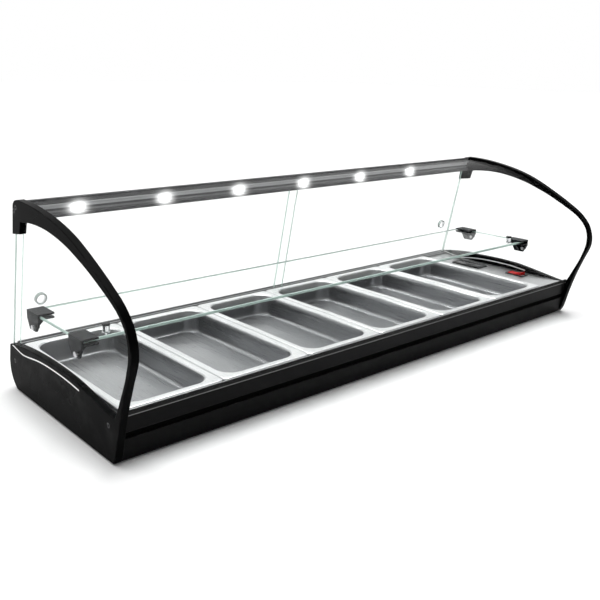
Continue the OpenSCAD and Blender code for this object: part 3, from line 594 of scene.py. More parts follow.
finishes = {
    # colours as linear values, rough as a low and a high end, deep as (low height, high height, colour) of
    # painted shade below a height
    "frameBlack": dict(a=(0.0014, 0.0015, 0.0016), b=(0.002, 0.0021, 0.0022), rough=(0.24, 0.32), spec=0.013,
        grain=(1400, 7, 0.03), wear=0.5, worn=(0.03, 0.03, 0.03), dust=0.002),
    "inlayWhite": dict(a=(0.88, 0.89, 0.88), b=(0.93, 0.94, 0.93), rough=(0.3, 0.45),
        grain=(900, 14, 0.04), dust=0.03),
    "sealRubber": dict(a=(0.006, 0.006, 0.006), b=(0.01, 0.01, 0.01), rough=(0.5, 0.7), spec=0.15,
        grain=(1200, 16, 0.06), dust=0.02),
    "profileGrey": dict(a=(0.17, 0.172, 0.174), b=(0.2, 0.202, 0.205), rough=(0.34, 0.44), metal=0.3,
        spec=0.1, glow=True, streak=(9, 1600, 1600), bump=0.004, lightShadeBands=profileLightShadeBands),
    "trackGrey": dict(a=(0.16, 0.163, 0.166), b=(0.22, 0.223, 0.226), rough=(0.28, 0.4), metal=0.9,
        streak=(9, 1600, 1600), bump=0.03, wear=0.3, worn=(0.4, 0.4, 0.4), dust=0.01),
    "boardWhite": dict(a=(0.17, 0.172, 0.174), b=(0.2, 0.202, 0.205), rough=(0.4, 0.55), glow=True, spec=0.1,
        grain=(1500, 20, 0.03), lightShadeBands=profileLightShadeBands),
    "bracketGrey": dict(a=(0.01, 0.011, 0.0125), b=(0.015, 0.0162, 0.018), rough=(0.34, 0.5), spec=0.07,
        grain=(1100, 18, 0.06), dust=0.02),
    "screwSteel": dict(a=(0.42, 0.42, 0.43), b=(0.56, 0.56, 0.57), rough=(0.22, 0.4), metal=1.0,
        grain=(1800, 40, 0.08), wear=0.4, worn=(0.8, 0.8, 0.8)),
    "screwDark": dict(a=(0.02, 0.02, 0.021), b=(0.04, 0.04, 0.042), rough=(0.3, 0.5), metal=0.6,
        grain=(1800, 40, 0.08), wear=0.4, worn=(0.3, 0.3, 0.3)),
    "postChrome": dict(a=(0.62, 0.63, 0.64), b=(0.74, 0.75, 0.76), rough=(0.06, 0.14), metal=1.0,
        grain=(1200, 30, 0.03), wear=0.2, worn=(0.9, 0.9, 0.9)),
    "plasticBlack": dict(a=(0.008, 0.008, 0.0085), b=(0.014, 0.014, 0.0145), rough=(0.38, 0.55), spec=0.2,
        grain=(2200, 20, 0.12), wear=0.35, worn=(0.06, 0.06, 0.06), dust=0.015),
    "deckSteel": dict(a=(0.44, 0.445, 0.45), b=(0.5, 0.505, 0.51), rough=(0.26, 0.34), metal=1.0,
        streak=(14, 1700, 1700), bump=0.008, dust=0.01),
    # lipSteel: painted shade, almost black below 76.2 mm, where the lip sits between the glass seal and the
    # pans
    "lipSteel": dict(a=(0.66, 0.665, 0.67), b=(0.74, 0.745, 0.75), rough=(0.26, 0.34), metal=1.0,
        streak=(14, 1700, 1700), bump=0.008, deep=(0.0762, 0.0784, (0.03, 0.03, 0.03))),
    "fasciaBlack": dict(a=(0.005, 0.005, 0.0052), b=(0.0066, 0.0066, 0.0068), rough=(0.3, 0.4), spec=0.035,
        streak=(7, 900, 900), bump=0.006, wear=0.5, worn=(0.05, 0.05, 0.05), dust=0.003),
    "grooveBlack": dict(a=(0.0008, 0.0008, 0.0008), b=(0.0014, 0.0014, 0.0014), rough=(0.6, 0.8), spec=0.02,
        grain=(900, 12, 0.1)),
    "edgeTrim": dict(a=(0.15, 0.15, 0.148), b=(0.2, 0.2, 0.197), rough=(0.28, 0.42), metal=0.9,
        streak=(12, 1600, 1600), bump=0.02, wear=0.3, worn=(0.4, 0.4, 0.4)),
    "traySteel": dict(a=(0.4, 0.405, 0.41), b=(0.5, 0.505, 0.51), rough=(0.34, 0.5), metal=1.0,
        streak=(10, 900, 900), bump=0.05, wear=0.3, worn=(0.7, 0.7, 0.7), dust=0.06),
    # panSteel: painted shade, darker below 77.8 mm, inside the pan's hollow and under its rim
    "panSteel": dict(a=(0.76, 0.765, 0.77), b=(0.81, 0.815, 0.82), rough=(0.26, 0.32), metal=1.0,
        streak=(1900, 12, 1900), bump=0.004, deep=(0.0778, 0.0802, (0.38, 0.385, 0.395))),
    "coldPlate": dict(a=(0.55, 0.56, 0.57), b=(0.65, 0.66, 0.67), rough=(0.35, 0.5), metal=1.0,
        streak=(12, 800, 800), bump=0.06, dust=0.04),
    "copperTube": dict(a=(0.62, 0.27, 0.14), b=(0.72, 0.36, 0.2), rough=(0.2, 0.42), metal=1.0,
        grain=(500, 30, 0.06), wear=0.4, worn=(0.85, 0.55, 0.4)),
    "foamYellow": dict(a=(0.6, 0.5, 0.26), b=(0.7, 0.6, 0.36), rough=(0.8, 0.95), grain=(420, 25, 0.6)),
    "brassFitting": dict(a=(0.62, 0.44, 0.17), b=(0.74, 0.55, 0.25), rough=(0.22, 0.4), metal=1.0,
        grain=(900, 30, 0.06), wear=0.4, worn=(0.9, 0.75, 0.45)),
    "drainPlastic": dict(a=(0.5, 0.51, 0.5), b=(0.6, 0.61, 0.6), rough=(0.4, 0.55),
        grain=(1500, 20, 0.08), dust=0.08),
    "rockerRed": dict(a=(0.5, 0.003, 0.003), b=(0.6, 0.006, 0.005), rough=(0.2, 0.34), spec=0.15,
        grain=(1200, 24, 0.05), dust=0.01),
    "windowDark": dict(a=(0.006, 0.006, 0.007), b=(0.012, 0.012, 0.014), rough=(0.08, 0.16), spec=0.5,
        grain=(900, 12, 0.01), dust=0.05),
    "ringPale": dict(a=(0.82, 0.84, 0.835), b=(0.88, 0.9, 0.895), rough=(0.25, 0.4), grain=(1400, 20, 0.03),
        wear=0.3, worn=(0.95, 0.95, 0.95)),
    "keyGrey": dict(a=(0.03, 0.031, 0.033), b=(0.05, 0.051, 0.053), rough=(0.4, 0.6), spec=0.4,
        grain=(1800, 30, 0.14), wear=0.5, worn=(0.15, 0.15, 0.15), dust=0.05),
}


def makeFinish(name, look):
    material, tree, shader, vector = newMaterial(name)
    if "streak" in look:
        base = groupNode(tree, streakGroup, vector, Stretch=look["streak"], Height=look["bump"])
    else:
        scale, cloud, height = look["grain"]
        base = groupNode(tree, grainGroup, vector, Scale=scale, Cloud=cloud, Height=height)
    mask = base.outputs["Mask"]
    colour = mixColour(tree, mask, look["a"], look["b"])
    # painted shade: below the low height the colour goes over to the shade colour
    if "deep" in look:
        low, high, shadeColour = look["deep"]
        height = groupNode(tree, heightGroup, vector, Low=low, High=high)
        colour = mixColour(tree, height.outputs["Mask"], shadeColour, colour)
    if "lightShadeBands" in look:
        # painted light and shade: bright and dim bands by height, multiplied into the colour
        rows = look["lightShadeBands"]
        low, high = rows[0][0], rows[-1][0]
        height = groupNode(tree, heightGroup, vector, Low=low, High=high)
        ramp = addNode(tree, "ValToRGB", [], [("Fac", height.outputs["Mask"])])
        stops = ramp.color_ramp.elements
        for z, value in rows[1:-1]:
            stops.new((z - low) / (high - low)).color = (value, value, value, 1)
        for i in (0, -1):
            stops[i].color = (rows[i][1],) * 3 + (1,)
        colour = mixColour(tree, 1.0, colour, ramp.outputs["Color"], "MULTIPLY")
    if "wear" in look:
        wear = groupNode(tree, wearGroup, vector, Amount=look["wear"])
        colour = mixColour(tree, wear.outputs["Mask"], colour, look["worn"])
    if "dust" in look:
        dust = groupNode(tree, dustGroup, vector, Amount=look["dust"])
        colour = mixColour(tree, dust.outputs["Mask"], colour, dustSet["colour"])
    if "glow" in look:
        glow = groupNode(tree, glowGroup, vector)
        setSockets(
            tree, shader, [("Emission Strength", lightPoint["spill"])],
            [("Emission Color", glow.outputs["Colour"])],
        )
    low, high = look["rough"]
    rough = addNode(tree, "MapRange", [("To Min", low), ("To Max", high)], [("Value", mask)])
    setSockets(
        tree, shader,
        [("Metallic", look.get("metal", 0.0)), ("Specular IOR Level", look.get("spec", 0.5))],
        [
            ("Base Color", colour), ("Roughness", rough.outputs["Result"]),
            ("Normal", base.outputs["Normal"]),
        ],
    )
    return material


finish = {name: makeFinish(name, look) for name, look in finishes.items()}

glasses = {
    "clearGlass": dict(tint=(0.985, 0.995, 0.99), rough=(0.0, 0.02), ior=1.06, clear=1.0),
    "bentGlass": dict(tint=(0.99, 0.995, 0.995), rough=(0.0, 0.02), ior=1.025, clear=1.0),
    "greenEdge": dict(tint=(0.66, 0.84, 0.77), rough=(0.15, 0.3), ior=1.3, clear=0.35),
}


wipeMarks = {"Scale": 60, "Cloud": 5, "Height": 0.0}
wipeTint = 0.985


def makeGlass(name, look):
    # clear for light that passes to what stands behind, with faint wipe marks
    material, tree, shader, vector = newMaterial(name)
    marks = groupNode(tree, grainGroup, vector, **wipeMarks)
    low, high = look["rough"]
    rough = addNode(tree, "MapRange", [("To Min", low), ("To Max", high)], [("Value", marks.outputs["Mask"])])
    tint = mixColour(tree, marks.outputs["Mask"], look["tint"], tuple(wipeTint * v for v in look["tint"]))
    setSockets(
        tree, shader, [("Transmission Weight", look["clear"]), ("IOR", look["ior"])],
        [("Roughness", rough.outputs["Result"]), ("Base Color", tint)],
    )
    path = addNode(tree, "LightPath")
    clear = addNode(tree, "BsdfTransparent", [("Color", (*look["tint"], 1))])
    mix = addNode(
        tree, "MixShader", [],
        [(0, path.outputs["Is Shadow Ray"]), (1, shader.outputs[0]), (2, clear.outputs[0])],
    )
    tree.links.new(mix.outputs[0], tree.nodes["Material Output"].inputs["Surface"])
    return material


for name, look in glasses.items():
    finish[name] = makeGlass(name, look)


def makeLightLens():
    material, tree, shader, vector = newMaterial("lightLens")
    cells = groupNode(tree, grainGroup, vector, **lightPoint["cells"])
    warm = mixColour(tree, cells.outputs["Mask"], lightPoint["colour"], lightPoint["warm"])
    setSockets(
        tree, shader, [("Emission Strength", lightPoint["strength"])],
        [("Emission Color", warm), ("Base Color", warm), ("Normal", cells.outputs["Normal"])],
    )
    return material


finish["lightLens"] = makeLightLens()
edgedGlass = ["clearGlass", "greenEdge"]
print("finishes ready")

# the case, with every size in millimetres

case = {
    "innerHalf": 577.0, "outerHalf": 590.0, "insideHalf": 576.5,
    "glassFace": 581.5, "glassThick": 4.0, "smooth": 3,
}

frameLines = {
    # outline of an end frame as (Y, Z), front edge, crown, opening and cheek
    "front": [(-146.5, 2), (-153, 15), (-161.5, 51), (-172.3, 90), (-186, 129), (-197.6, 159),
        (-200, 176), (-197.2, 193), (-187.5, 214), (-166.5, 235), (-141, 251), (-121, 262.3),
        (-101, 272.7), (-81, 282.7), (-61, 292), (-41.6, 300.2), (-21.8, 307), (-2, 312.6),
        (17.8, 317.3), (37.6, 321.1), (57.4, 324.3), (77.2, 326.9), (97, 328.7), (117, 329.7),
        (135, 330)],
    "crown": [(135, 330), (144.5, 327.6), (151.3, 321.5), (153, 312.5)],
    "tabs": [(158.7, 272.1), (131.4, 275.9)],
    "inner": [(125.7, 296), (97, 299.5), (67, 300.5), (37.6, 299), (17.8, 296.4), (-7, 291.8),
        (-33.7, 285), (-53.5, 278.3), (-84, 267), (-105, 257.6), (-134.6, 243.4),
        (-164.5, 226.5), (-183.5, 207.5), (-190.8, 190), (-192, 176), (-190, 160),
        (-181, 132), (-168.3, 103), (-160, 84), (-153.5, 73)],
    "cheek": [(-153.5, 73), (-140, 73), (-95, 79.5), (-48.5, 86.2), (-15, 89.2), (25, 90.6),
        (63, 90.5), (113, 88.3), (166, 82.8), (195, 77)],
    "rear": [(200, 48), (197.8, 29), (188.5, 12.5), (175.5, 2)],
    "inlay": [(186, 78.2), (166, 75.4), (145, 72.8), (124, 74.6), (100, 78.2), (76, 80.8),
        (50, 82), (22, 82.2), (-4, 81.6), (-28, 80.2), (-52, 78)],
    "edgeRadius": 1.1, "inlayHalf": 1.3, "inlayDeep": 1.45,
    "screws": [(-135.6, 56), (178, 52), (141.2, 317), (148.3, 311.2)], "screwPocket": (4.2, 2.9),
}

smoothed = ("front", "crown", "inner", "cheek", "rear", "inlay")
line = {part: smoothLine(frameLines[part], case["smooth"]) for part in smoothed}
tabs = np.array(frameLines["tabs"], float)
frameOutline = np.vstack(
    [line["front"], line["crown"], tabs, line["inner"], line["cheek"], line["rear"]]
)
inlayLoop = band(line["inlay"], -frameLines["inlayHalf"], frameLines["inlayHalf"])


def strip(outline, edge, steps=2):
    # a bar over the whole length between the end frames
    return plate(outline, -case["insideHalf"], case["insideHalf"], alongX, edge=edge, steps=steps)


def endFrame():
    r, deep = frameLines["screwPocket"]
    pockets = [(inlayLoop, frameLines["inlayDeep"], low) for low in (True, False)]
    pockets += [(ringLoop(y, z, r), deep, False) for y, z in frameLines["screws"]]
    return plate(
        frameOutline, case["innerHalf"], case["outerHalf"], alongX,
        edge=frameLines["edgeRadius"], pockets=pockets, steps=4,
    )


def inlayStrips():
    # two strips, a hair below both faces of the frame
    thin = cleanLoop(insetLoop(cleanLoop(inlayLoop), 0.03))
    deep = frameLines["inlayDeep"]
    return [
        plate(thin, case["outerHalf"] - deep, case["outerHalf"] - 0.06, alongX, edge=0.12, steps=1),
        plate(thin, case["innerHalf"] + 0.06, case["innerHalf"] + deep, alongX, edge=0.12, steps=1),
    ]


frameRight = endFrame()
inlayRight = inlayStrips()
for side in ("right", "left"):
    addPiece(
        side + "Frame", [onSide(side, frameRight)], ["frameBlack"], "case",
        side + "_end_frame",
    )
    addPiece(
        side + "Inlay", [onSide(side, part) for part in inlayRight], ["inlayWhite"], "case",
        side + "_frame_inlay",
    )
print("end frames made")

# glass

glassSet = {
    "edge": 0.45, "bite": 2.0, "frontThick": 4.0, "frontReach": 579.8,
    "frontLine": [(-154.9, 75.2), (-159.8, 84), (-170.4, 104), (-183.4, 132), (-193.6, 160),
                  (-195.9, 176), (-194, 191.5), (-185.8, 210.3), (-166.5, 230), (-138.4, 247.7),
                  (-108, 263.6), (-87.3, 273.8), (-58.5, 287.2), (-38, 295.6), (-9.2, 305),
                  (15.8, 311.4), (37, 315.6), (67, 319.9), (97, 322.8), (117, 323.9), (136, 324.3)],
    "sealLoop": [(-157.2, 73.2), (-157.4, 79), (-156.6, 80.2), (-154, 80.2), (-153.2, 79), (-153.2, 73.2)],
    "rearCorners": [(156.5, 272.4), (192.5, 77.5)],
    "shelf": (576, -41, 141), "shelfTop": 148.6, "shelfThick": 5.0, "shelfCorner": 2.5, "shelfEdge": 0.9,
}


def endGlass():
    upper, lower = glassSet["rearCorners"]
    opening = np.vstack([[upper], tabs[1:], line["inner"], line["cheek"][1:-1], [lower]])
    outer = opening + glassSet["bite"] * lineSides(opening)
    return plate(
        outer, case["glassFace"], case["glassFace"] + case["glassThick"], alongX,
        edge=glassSet["edge"], sideMark=1, steps=2,
    )


endRight = endGlass()
for side in ("right", "left"):
    addPiece(
        side + "EndGlass", [onSide(side, endRight)], edgedGlass, "case",
        side + "_end_glass",
    )

frontLine = smoothLine(glassSet["frontLine"], case["smooth"])
half = glassSet["frontThick"] / 2
reach = glassSet["frontReach"]
bent = plate(band(frontLine, half, -half), -reach, reach, alongX, edge=glassSet["edge"], steps=2)
addPiece("frontGlass", [bent], ["bentGlass"], "case", "front_glass")

wide, y0, y1 = glassSet["shelf"]
top = glassSet["shelfTop"]
shelf = plate(
    boxLoop(-wide, y0, wide, y1, glassSet["shelfCorner"]), top - glassSet["shelfThick"], top, alongZ,
    edge=glassSet["shelfEdge"], sideMark=1,
)
addPiece("shelf", [shelf], edgedGlass, "case", "glass_shelf")

sealStrip = strip(softLoop(glassSet["sealLoop"], 0.5), 0.3)
addPiece("glassSeal", [sealStrip], ["sealRubber"], "case", "front_glass_seal")
print("glass made")

# rear doors, rings and tracks

doorSet = {
    "foot": (195.0, 77.0), "lean": math.atan2(36.3, 195.1), "thick": 4.0,
    "low": -3.6, "topZ": 296.0, "topPast": 5.2, "right": -5.0, "left": -13.0, "overlap": 16.0,
    "corner": 1.5, "edge": 0.5, "ringX": 543.0, "ringV": 82.0, "holeRadius": 8.55,
    "ring": [(7.5, -3.1), (10.5, -3.1), (10.5, -2.05), (8.5, -2.05), (8.5, 2.05), (10.5, 2.05),
             (10.5, 3.1), (7.5, 3.1)],
    "track": (-18.0, -0.3, -8.0, 3.0), "slotFloor": -4.0, "slotWide": 5.0,
}
lean = doorSet["lean"]
doorHigh = (doorSet["topZ"] - doorSet["foot"][1]) / math.cos(lean) + doorSet["topPast"]
doorUp = np.array([0, -math.sin(lean), math.cos(lean)])
doorOut = np.array([0, math.cos(lean), math.sin(lean)])


def inPlane(w, v):
    y, z = doorSet["foot"]
    return (y + w * math.cos(lean) - v * math.sin(lean), z + w * math.sin(lean) + v * math.cos(lean))


def door(side):
    sign = 1 if side == "right" else -1
    w = doorSet[side]
    wide = case["insideHalf"] + doorSet["overlap"] / 2
    x0, x1 = sorted((sign * case["insideHalf"], sign * (case["insideHalf"] - wide)))
    origin = np.array([0, *inPlane(w, 0)])
    basis = (origin, (1, 0, 0), doorUp, doorOut)
    hole = ringLoop(sign * doorSet["ringX"], doorSet["ringV"], doorSet["holeRadius"], 40)
    t = doorSet["thick"] / 2
    pane = plate(
        boxLoop(x0, doorSet["low"], x1, doorHigh, doorSet["corner"]), -t, t, basis,
        edge=doorSet["edge"], holes=[hole], sideMark=1,
    )
    spot = np.array([sign * doorSet["ringX"], *inPlane(w, doorSet["ringV"])])
    ring = lathe(softLoop(doorSet["ring"], 0.45, 3), spot, doorOut, 48)
    addPiece(
        side + "Door", [pane], edgedGlass, side + "_door",
        side + "_sliding_door",
    )
    addPiece(
        side + "FingerRing", [ring], ["ringPale"], side + "_door",
        side + "_door_ring",
    )


door("left")
door("right")


def lowerTrack():
    w0, w1, v0, v1 = doorSet["track"]
    s = doorSet["slotWide"] / 2
    floor = doorSet["slotFloor"]
    pts = [(w0, v0), (w1, v0), (w1, v1)]
    for w in (doorSet["right"], doorSet["left"]):
        pts += [(w + s, v1), (w + s, floor), (w - s, floor), (w - s, v1)]
    pts.append((w0, v1))
    loop = np.array([inPlane(*p) for p in pts])
    return strip(softLoop(loop, 0.35, 2), 0.3)


addPiece("lowerTrack", [lowerTrack()], ["trackGrey"], "case", "lower_door_track")
print("doors made")

# light profile

lightSet = {
    "frontY": 131.7, "bottom": 296.0, "top": 328.5, "crownInset": 1.5,
    "channelZ": 308.0, "channelHigh": 14.0, "channelDeep": 4.0, "slotTop": 5.0,
    "lines": [326.2, 321.6, 318.4], "lineDeep": 0.7, "lineHigh": 0.9,
    "heel": (-0.8, -10.0),
}


def lightProfile():
    y0, bottom = lightSet["frontY"], lightSet["bottom"]
    heelW, heelV = lightSet["heel"]
    heel = np.array(inPlane(heelW, doorHigh + heelV))
    foot = np.array([y0, bottom])
    pts = [foot]
    s = doorSet["slotWide"] / 2
    c, q = math.cos(lean), math.sin(lean)
    fy, fz = doorSet["foot"]
    w0, w1 = ((y - fy) * c + (z - fz) * q for y, z in (foot, heel))
    for w in (doorSet["left"], doorSet["right"]):
        for k, edgeW in enumerate((w - s, w + s)):
            onLine = foot + (heel - foot) * (edgeW - w0) / (w1 - w0)
            high = np.array(inPlane(edgeW, doorHigh + lightSet["slotTop"]))
            pts += [onLine, high] if k == 0 else [high, onLine]
    pts.append(heel)
    crown = line["crown"] + lightSet["crownInset"] * lineSides(line["crown"])
    pts += list(crown[::-1]) + [(y0, lightSet["top"])]
    for z in lightSet["lines"]:
        h = lightSet["lineHigh"] / 2
        d = lightSet["lineDeep"]
        pts += [(y0, z + h), (y0 + d, z + 0.6 * h), (y0 + d, z - 0.6 * h), (y0, z - h)]
    zc, zh, deep = lightSet["channelZ"], lightSet["channelHigh"] / 2, lightSet["channelDeep"]
    pts += [(y0, zc + zh), (y0 + deep, zc + zh), (y0 + deep, zc - zh), (y0, zc - zh)]
    return strip(softLoop(pts, 0.3, 2), 0.3, steps=1)


addPiece("lightProfile", [lightProfile()], ["profileGrey"], "case", "light_profile")


lensSet = {
    "radius": 5.0, "collar": 0.8, "shoulder": (4.5, 1.1), "dome": (4.1, 1.3), "sunk": 1.4, "axis": 0.02,
}


def lightLenses():
    # a low dome on a short collar for each point
    r, centre = lensSet["radius"], lensSet["axis"]
    wide, high = lensSet["dome"]
    foot = lensSet["shoulder"][1]
    t = np.linspace(0, math.pi / 2, 7)
    dome = np.column_stack([wide * np.cos(t), foot + high * np.sin(t)])
    collar = [(centre, 0), (r, 0), (r, lensSet["collar"]), lensSet["shoulder"]]
    section = np.vstack([collar, dome[:-1], [(centre, foot + high)]])
    y = lightSet["frontY"] + lightSet["channelDeep"] - lensSet["sunk"]
    first, pitch = lightPoint["first"] / mm, lightPoint["pitch"] / mm
    return [
        lathe(section, (first + i * pitch, y, lightSet["channelZ"]), (0, -1, 0), 28)
        for i in range(lightPoint["count"])
    ]


addPiece("lightLenses", lightLenses(), ["lightLens"], "case", "led_modules")
print("light profile made")

# front panels

frontSet = {
    "sheet": 3.0, "upper": (46.0, 71.7), "lower": (2.6, 36.5), "trimHigh": 1.5, "trimProud": 0.6,
    "trimDeep": 3.0, "foot": -147.0, "leanOut": 9.6, "leanHigh": 77.0,
    "lip": (-152.8, 73.0, -150.8, 79.2), "lipEnd": 480.0,
}


def fasciaY(z):
    return frontSet["foot"] - frontSet["leanOut"] * z / frontSet["leanHigh"]


def fasciaLoop(z0, z1):
    s = frontSet["sheet"]
    return [(fasciaY(z0), z0), (fasciaY(z1), z1), (fasciaY(z1) + s, z1), (fasciaY(z0) + s, z0)]


def edgeTrim():
    z = frontSet["upper"][1]
    y = fasciaY(z) - frontSet["trimProud"]
    outline = boxLoop(y, z, y + frontSet["trimDeep"], z + frontSet["trimHigh"])
    return strip(softLoop(outline, 0.4), 0.2, steps=1)


def frontLip():
    outline = softLoop(boxLoop(*frontSet["lip"]), 0.8, 4)
    return plate(outline, -case["insideHalf"], frontSet["lipEnd"], alongX, edge=0.4, steps=2)


for name, node, heights in (
    ("upperFascia", "upper_fascia", frontSet["upper"]),
    ("lowerFascia", "lower_fascia", frontSet["lower"]),
):
    panel = strip(softLoop(fasciaLoop(*heights), 0.9, 4), 0.4)
    addPiece(name, [panel], ["fasciaBlack"], "case", node)

addPiece("edgeTrim", [edgeTrim()], ["edgeTrim"], "case", "fascia_edge_trim")
addPiece("frontLip", [frontLip()], ["lipSteel"], "case", "front_lip")
print("front panels made")

# pans

panSet = {
    "start": -576.0, "pitch": 176.0, "count": 6, "gap": 0.6,
    "length": 325.0, "centreY": 12.6, "top": 80.3, "depth": 40.0,
    "sheet": 1.0, "rim": 12.0, "lip": 7.0, "corner": 27.0, "fillet": 9.0, "draft": 3.0,
    "rimCorner": 8.0, "roll": 3.0, "bead": 2.4, "cornerPoints": 10,
    "rollNear": 1.7, "rollFar": 2.0, "rollWall": 0.2, "innerCorner": -1.0, "outerCorner": 0.8,
}


def roundedPath(hx, hy, r, count):
    # rounded rectangle, the same number of points for every size, with two points more on each side
    t = np.linspace(0, math.pi / 2, count)
    out = []
    for k, (sx, sy) in enumerate(((1, 1), (-1, 1), (-1, -1), (1, -1))):
        a = t + k * math.pi / 2
        out.append(np.column_stack([sx * (hx - r) + r * np.cos(a), sy * (hy - r) + r * np.sin(a)]))
    path = []
    for k in range(4):
        end, start = out[k][-1], out[(k + 1) % 4][0]
        mids = [end + (start - end) * f for f in (0.02, 0.5, 0.98)]
        path += [out[k], np.array(mids)]
    return np.vstack(path)


def panSection():
    # section as (inset from the outer edge, height below the rim top, corner radius)
    rim, lip = panSet["rim"], panSet["lip"]
    roll, bead, fillet = panSet["roll"], panSet["bead"], panSet["fillet"]
    depth, draft = panSet["depth"], panSet["draft"]
    corner, wallCorner = panSet["rimCorner"], panSet["corner"]
    rows = [(0.0, -lip, corner), (0.0, -roll, corner)]
    t = np.linspace(0, math.pi / 2, 5)[1:]
    rows += [(roll * (1 - math.cos(a)), -roll * (1 - math.sin(a)), corner) for a in t]
    # flat rim, with the corner growing from the rim's to the wall's
    for f in (0.04, 0.5, 0.96, 1.0):
        d = roll + (rim - roll - bead * 0.5) * f
        rows.append((d, 0.0, corner + (wallCorner + bead - corner) * f))
    d0 = rim - bead * 0.5
    for a in np.linspace(0, math.pi / 2 - 0.075, 6)[1:]:
        down = bead * (1 - math.cos(a))
        rows.append((d0 + bead * math.sin(a), -down, wallCorner + bead * (1 - math.sin(a))))
    wallTop = rows[-1]
    slope = draft / depth
    for f in (0.33, 0.66):
        z = wallTop[1] + (-depth + fillet - wallTop[1]) * f
        rows.append((wallTop[0] + slope * (wallTop[1] - z), z, wallCorner))
    z = -depth + fillet
    d1 = wallTop[0] + slope * (wallTop[1] - z)
    for a in np.linspace(0, math.pi / 2, 8):
        inwards = fillet * (1 - math.cos(a))
        rows.append((d1 + inwards, -depth + fillet * (1 - math.sin(a)), wallCorner - 0.6 * inwards))
    return rows


def pan(centreX):
    rows = np.array(panSection())
    hx = (panSet["pitch"] - panSet["gap"]) / 2
    hy = (panSet["length"] - panSet["gap"]) / 2
    # the underside follows the same section one sheet further out
    step = np.gradient(rows[:, :2], axis=0)
    step /= np.linalg.norm(step, axis=1)[:, None]
    under = rows.copy()
    under[:, 0] -= panSet["sheet"] * step[:, 1]
    under[:, 1] -= panSet["sheet"] * step[:, 0]
    under[0, :2] = rows[0, :2] + (panSet["sheet"], 0)
    under[1, :2] = rows[1, :2] + (panSet["sheet"], 0)
    # within the roll it stays inside the outer edge, and its corners are tighter there
    d = rows[:, 0]
    near = np.maximum(under[:, 0], d + panSet["rollWall"])
    under[:, 0] = np.where(d < panSet["rollNear"], near, under[:, 0])
    under[:, 2] += np.where(d < panSet["rollFar"], panSet["innerCorner"], panSet["outerCorner"])
    rings = np.vstack([under[::-1], rows])
    points = []
    for d, z, r in rings:
        path = roundedPath(hx - d, hy - d, r, panSet["cornerPoints"])
        points.append(np.column_stack([path, np.full(len(path), z)]))
    n = len(points[0])
    verts = np.vstack(points) + (centreX, panSet["centreY"], panSet["top"])
    faces = gridFaces(len(rings), n).tolist()
    faces.append(list(range(len(verts) - n, len(verts))))
    faces.append(list(range(n))[::-1])
    return verts, faces, [0] * len(faces)


for i in range(panSet["count"]):
    centre = panSet["start"] + panSet["pitch"] * (i + 0.5)
    name = f"pan{i + 1}"
    addPiece(name, [pan(centre)], ["panSteel"], f"pan_{i + 1}", f"gn_pan_{i + 1}")
print("pans made")

# shelf fittings

postSet = {
    "x": 530.0, "y": -29.0, "foot": 148.6, "radius": 5.5, "high": 11.0,
    "capRadius": 6.3, "capHigh": 3.5, "flange": 0.7, "flangeHigh": 1.2, "neckHigh": 2.0,
    "stem": (2.0, -5.0), "axis": 0.02,
}


def posts():
    r, h, centre = postSet["radius"], postSet["high"], postSet["axis"]
    wide = r + postSet["flange"]
    flange = [(centre, 0), (wide, 0), (wide, postSet["flangeHigh"])]
    section = flange + [(r, postSet["neckHigh"]), (r, h), (centre, h)]
    section = softLoop(section, [0.01, 0.4, 0.5, 0.5, 0.3, 0.01])
    stemRadius, stemEnd = postSet["stem"]
    stem = boxLoop(centre, stemEnd, stemRadius, 0)
    parts = []
    for side in (-1, 1):
        spot = (side * postSet["x"], postSet["y"], postSet["foot"])
        parts += [lathe(section, spot, (0, 0, 1), 40), lathe(stem, spot, (0, 0, 1), 24)]
    return parts


def postCaps():
    r, h = postSet["capRadius"], postSet["capHigh"]
    section = softLoop(boxLoop(postSet["axis"], 0, r, h), [0.01, 0.5, 1.2, 0.01], 4)
    top = postSet["foot"] + postSet["high"]
    return [lathe(section, (side * postSet["x"], postSet["y"], top), (0, 0, 1), 40) for side in (-1, 1)]


addPiece("shelfPosts", posts(), ["postChrome"], "case", "shelf_posts")
addPiece("postCaps", postCaps(), ["plasticBlack"], "case", "shelf_post_caps")

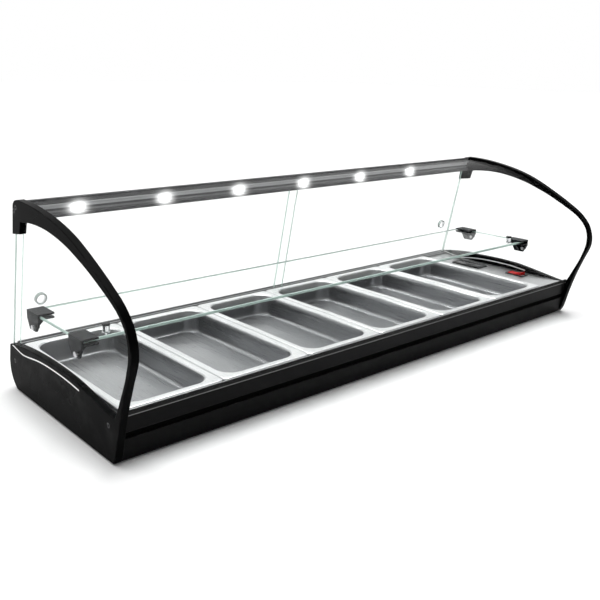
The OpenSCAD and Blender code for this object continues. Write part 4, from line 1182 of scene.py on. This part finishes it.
# CAD nodes that keep their own mesh
nodeFinish = {
    "led_board": "boardWhite", "bracket_front_left": "bracketGrey", "bracket_front_right": "bracketGrey",
    "bracket_rear_left": "bracketGrey", "bracket_rear_right": "bracketGrey", "bracket_screws": "screwSteel",
    "deck_panel": "deckSteel", "fascia_groove_strip": "grooveBlack", "base_tray": "traySteel",
    "rear_panel": "fasciaBlack", "connection_plate": "traySteel", "mounting_blocks": "plasticBlack",
    "cold_plate": "coldPlate", "evaporator_coil": "copperTube", "insulation": "foamYellow",
    "line_fittings": "brassFitting", "drain_spout": "drainPlastic", "cable_gland": "plasticBlack",
    "led_driver": "plasticBlack", "switch_housing": "plasticBlack", "switch_rocker": "rockerRed",
    "thermostat_bezel": "plasticBlack", "thermostat_window": "windowDark", "thermostat_keys": "keyGrey",
    "thermostat_body": "plasticBlack", "rubber_feet": "sealRubber", "end_frame_screws": "screwDark",
}
for node, name in nodeFinish.items():
    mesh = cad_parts[node].data
    mesh.materials.clear()
    mesh.materials.append(finish[name])
print("CAD nodes finished")

# studio

studio = {
    "floorSize": 40.0, "sun": 2.4, "sunAngle": 50.0, "sunTurn": (-12, 8, 0), "world": 1.0,
    "fade": (-0.3, 0.35, 0.22, 1.0), "floor": (0.9, 0.9, 0.9, 1),
}


def makeStudio():
    h = studio["floorSize"] / 2
    mesh = bpy.data.meshes.new("floor")
    mesh.from_pydata([(-h, -h, 0), (h, -h, 0), (h, h, 0), (-h, h, 0)], [], [(0, 1, 2, 3)])
    floor = place("floor", mesh)
    material, tree, shader, _ = newMaterial("floorWhite")
    setSockets(
        tree, shader,
        [("Base Color", studio["floor"]), ("Roughness", 1.0), ("Specular IOR Level", 0.0)],
    )
    mesh.materials.append(material)
    world = bpy.data.worlds.new("studio")
    world.use_nodes = True
    tree = world.node_tree
    back = tree.nodes["Background"]
    coord = addNode(tree, "TexCoord")
    parts = addNode(tree, "SeparateXYZ", [], [(0, coord.outputs["Generated"])])
    # the room is dark in front of the case and bright behind it
    ends = ("From Min", "From Max", "To Min", "To Max")
    fade = addNode(tree, "MapRange", list(zip(ends, studio["fade"])), [("Value", parts.outputs["Y"])])
    tree.links.new(fade.outputs["Result"], back.inputs["Color"])
    back.inputs["Strength"].default_value = studio["world"]
    bpy.context.scene.world = world
    sun = bpy.data.lights.new("sun", "SUN")
    sun.energy = studio["sun"]
    sun.angle = math.radians(studio["sunAngle"])
    place("sun", sun).rotation_euler = [math.radians(v) for v in studio["sunTurn"]]
    bpy.context.scene.view_settings.view_transform = "Standard"


makeStudio()
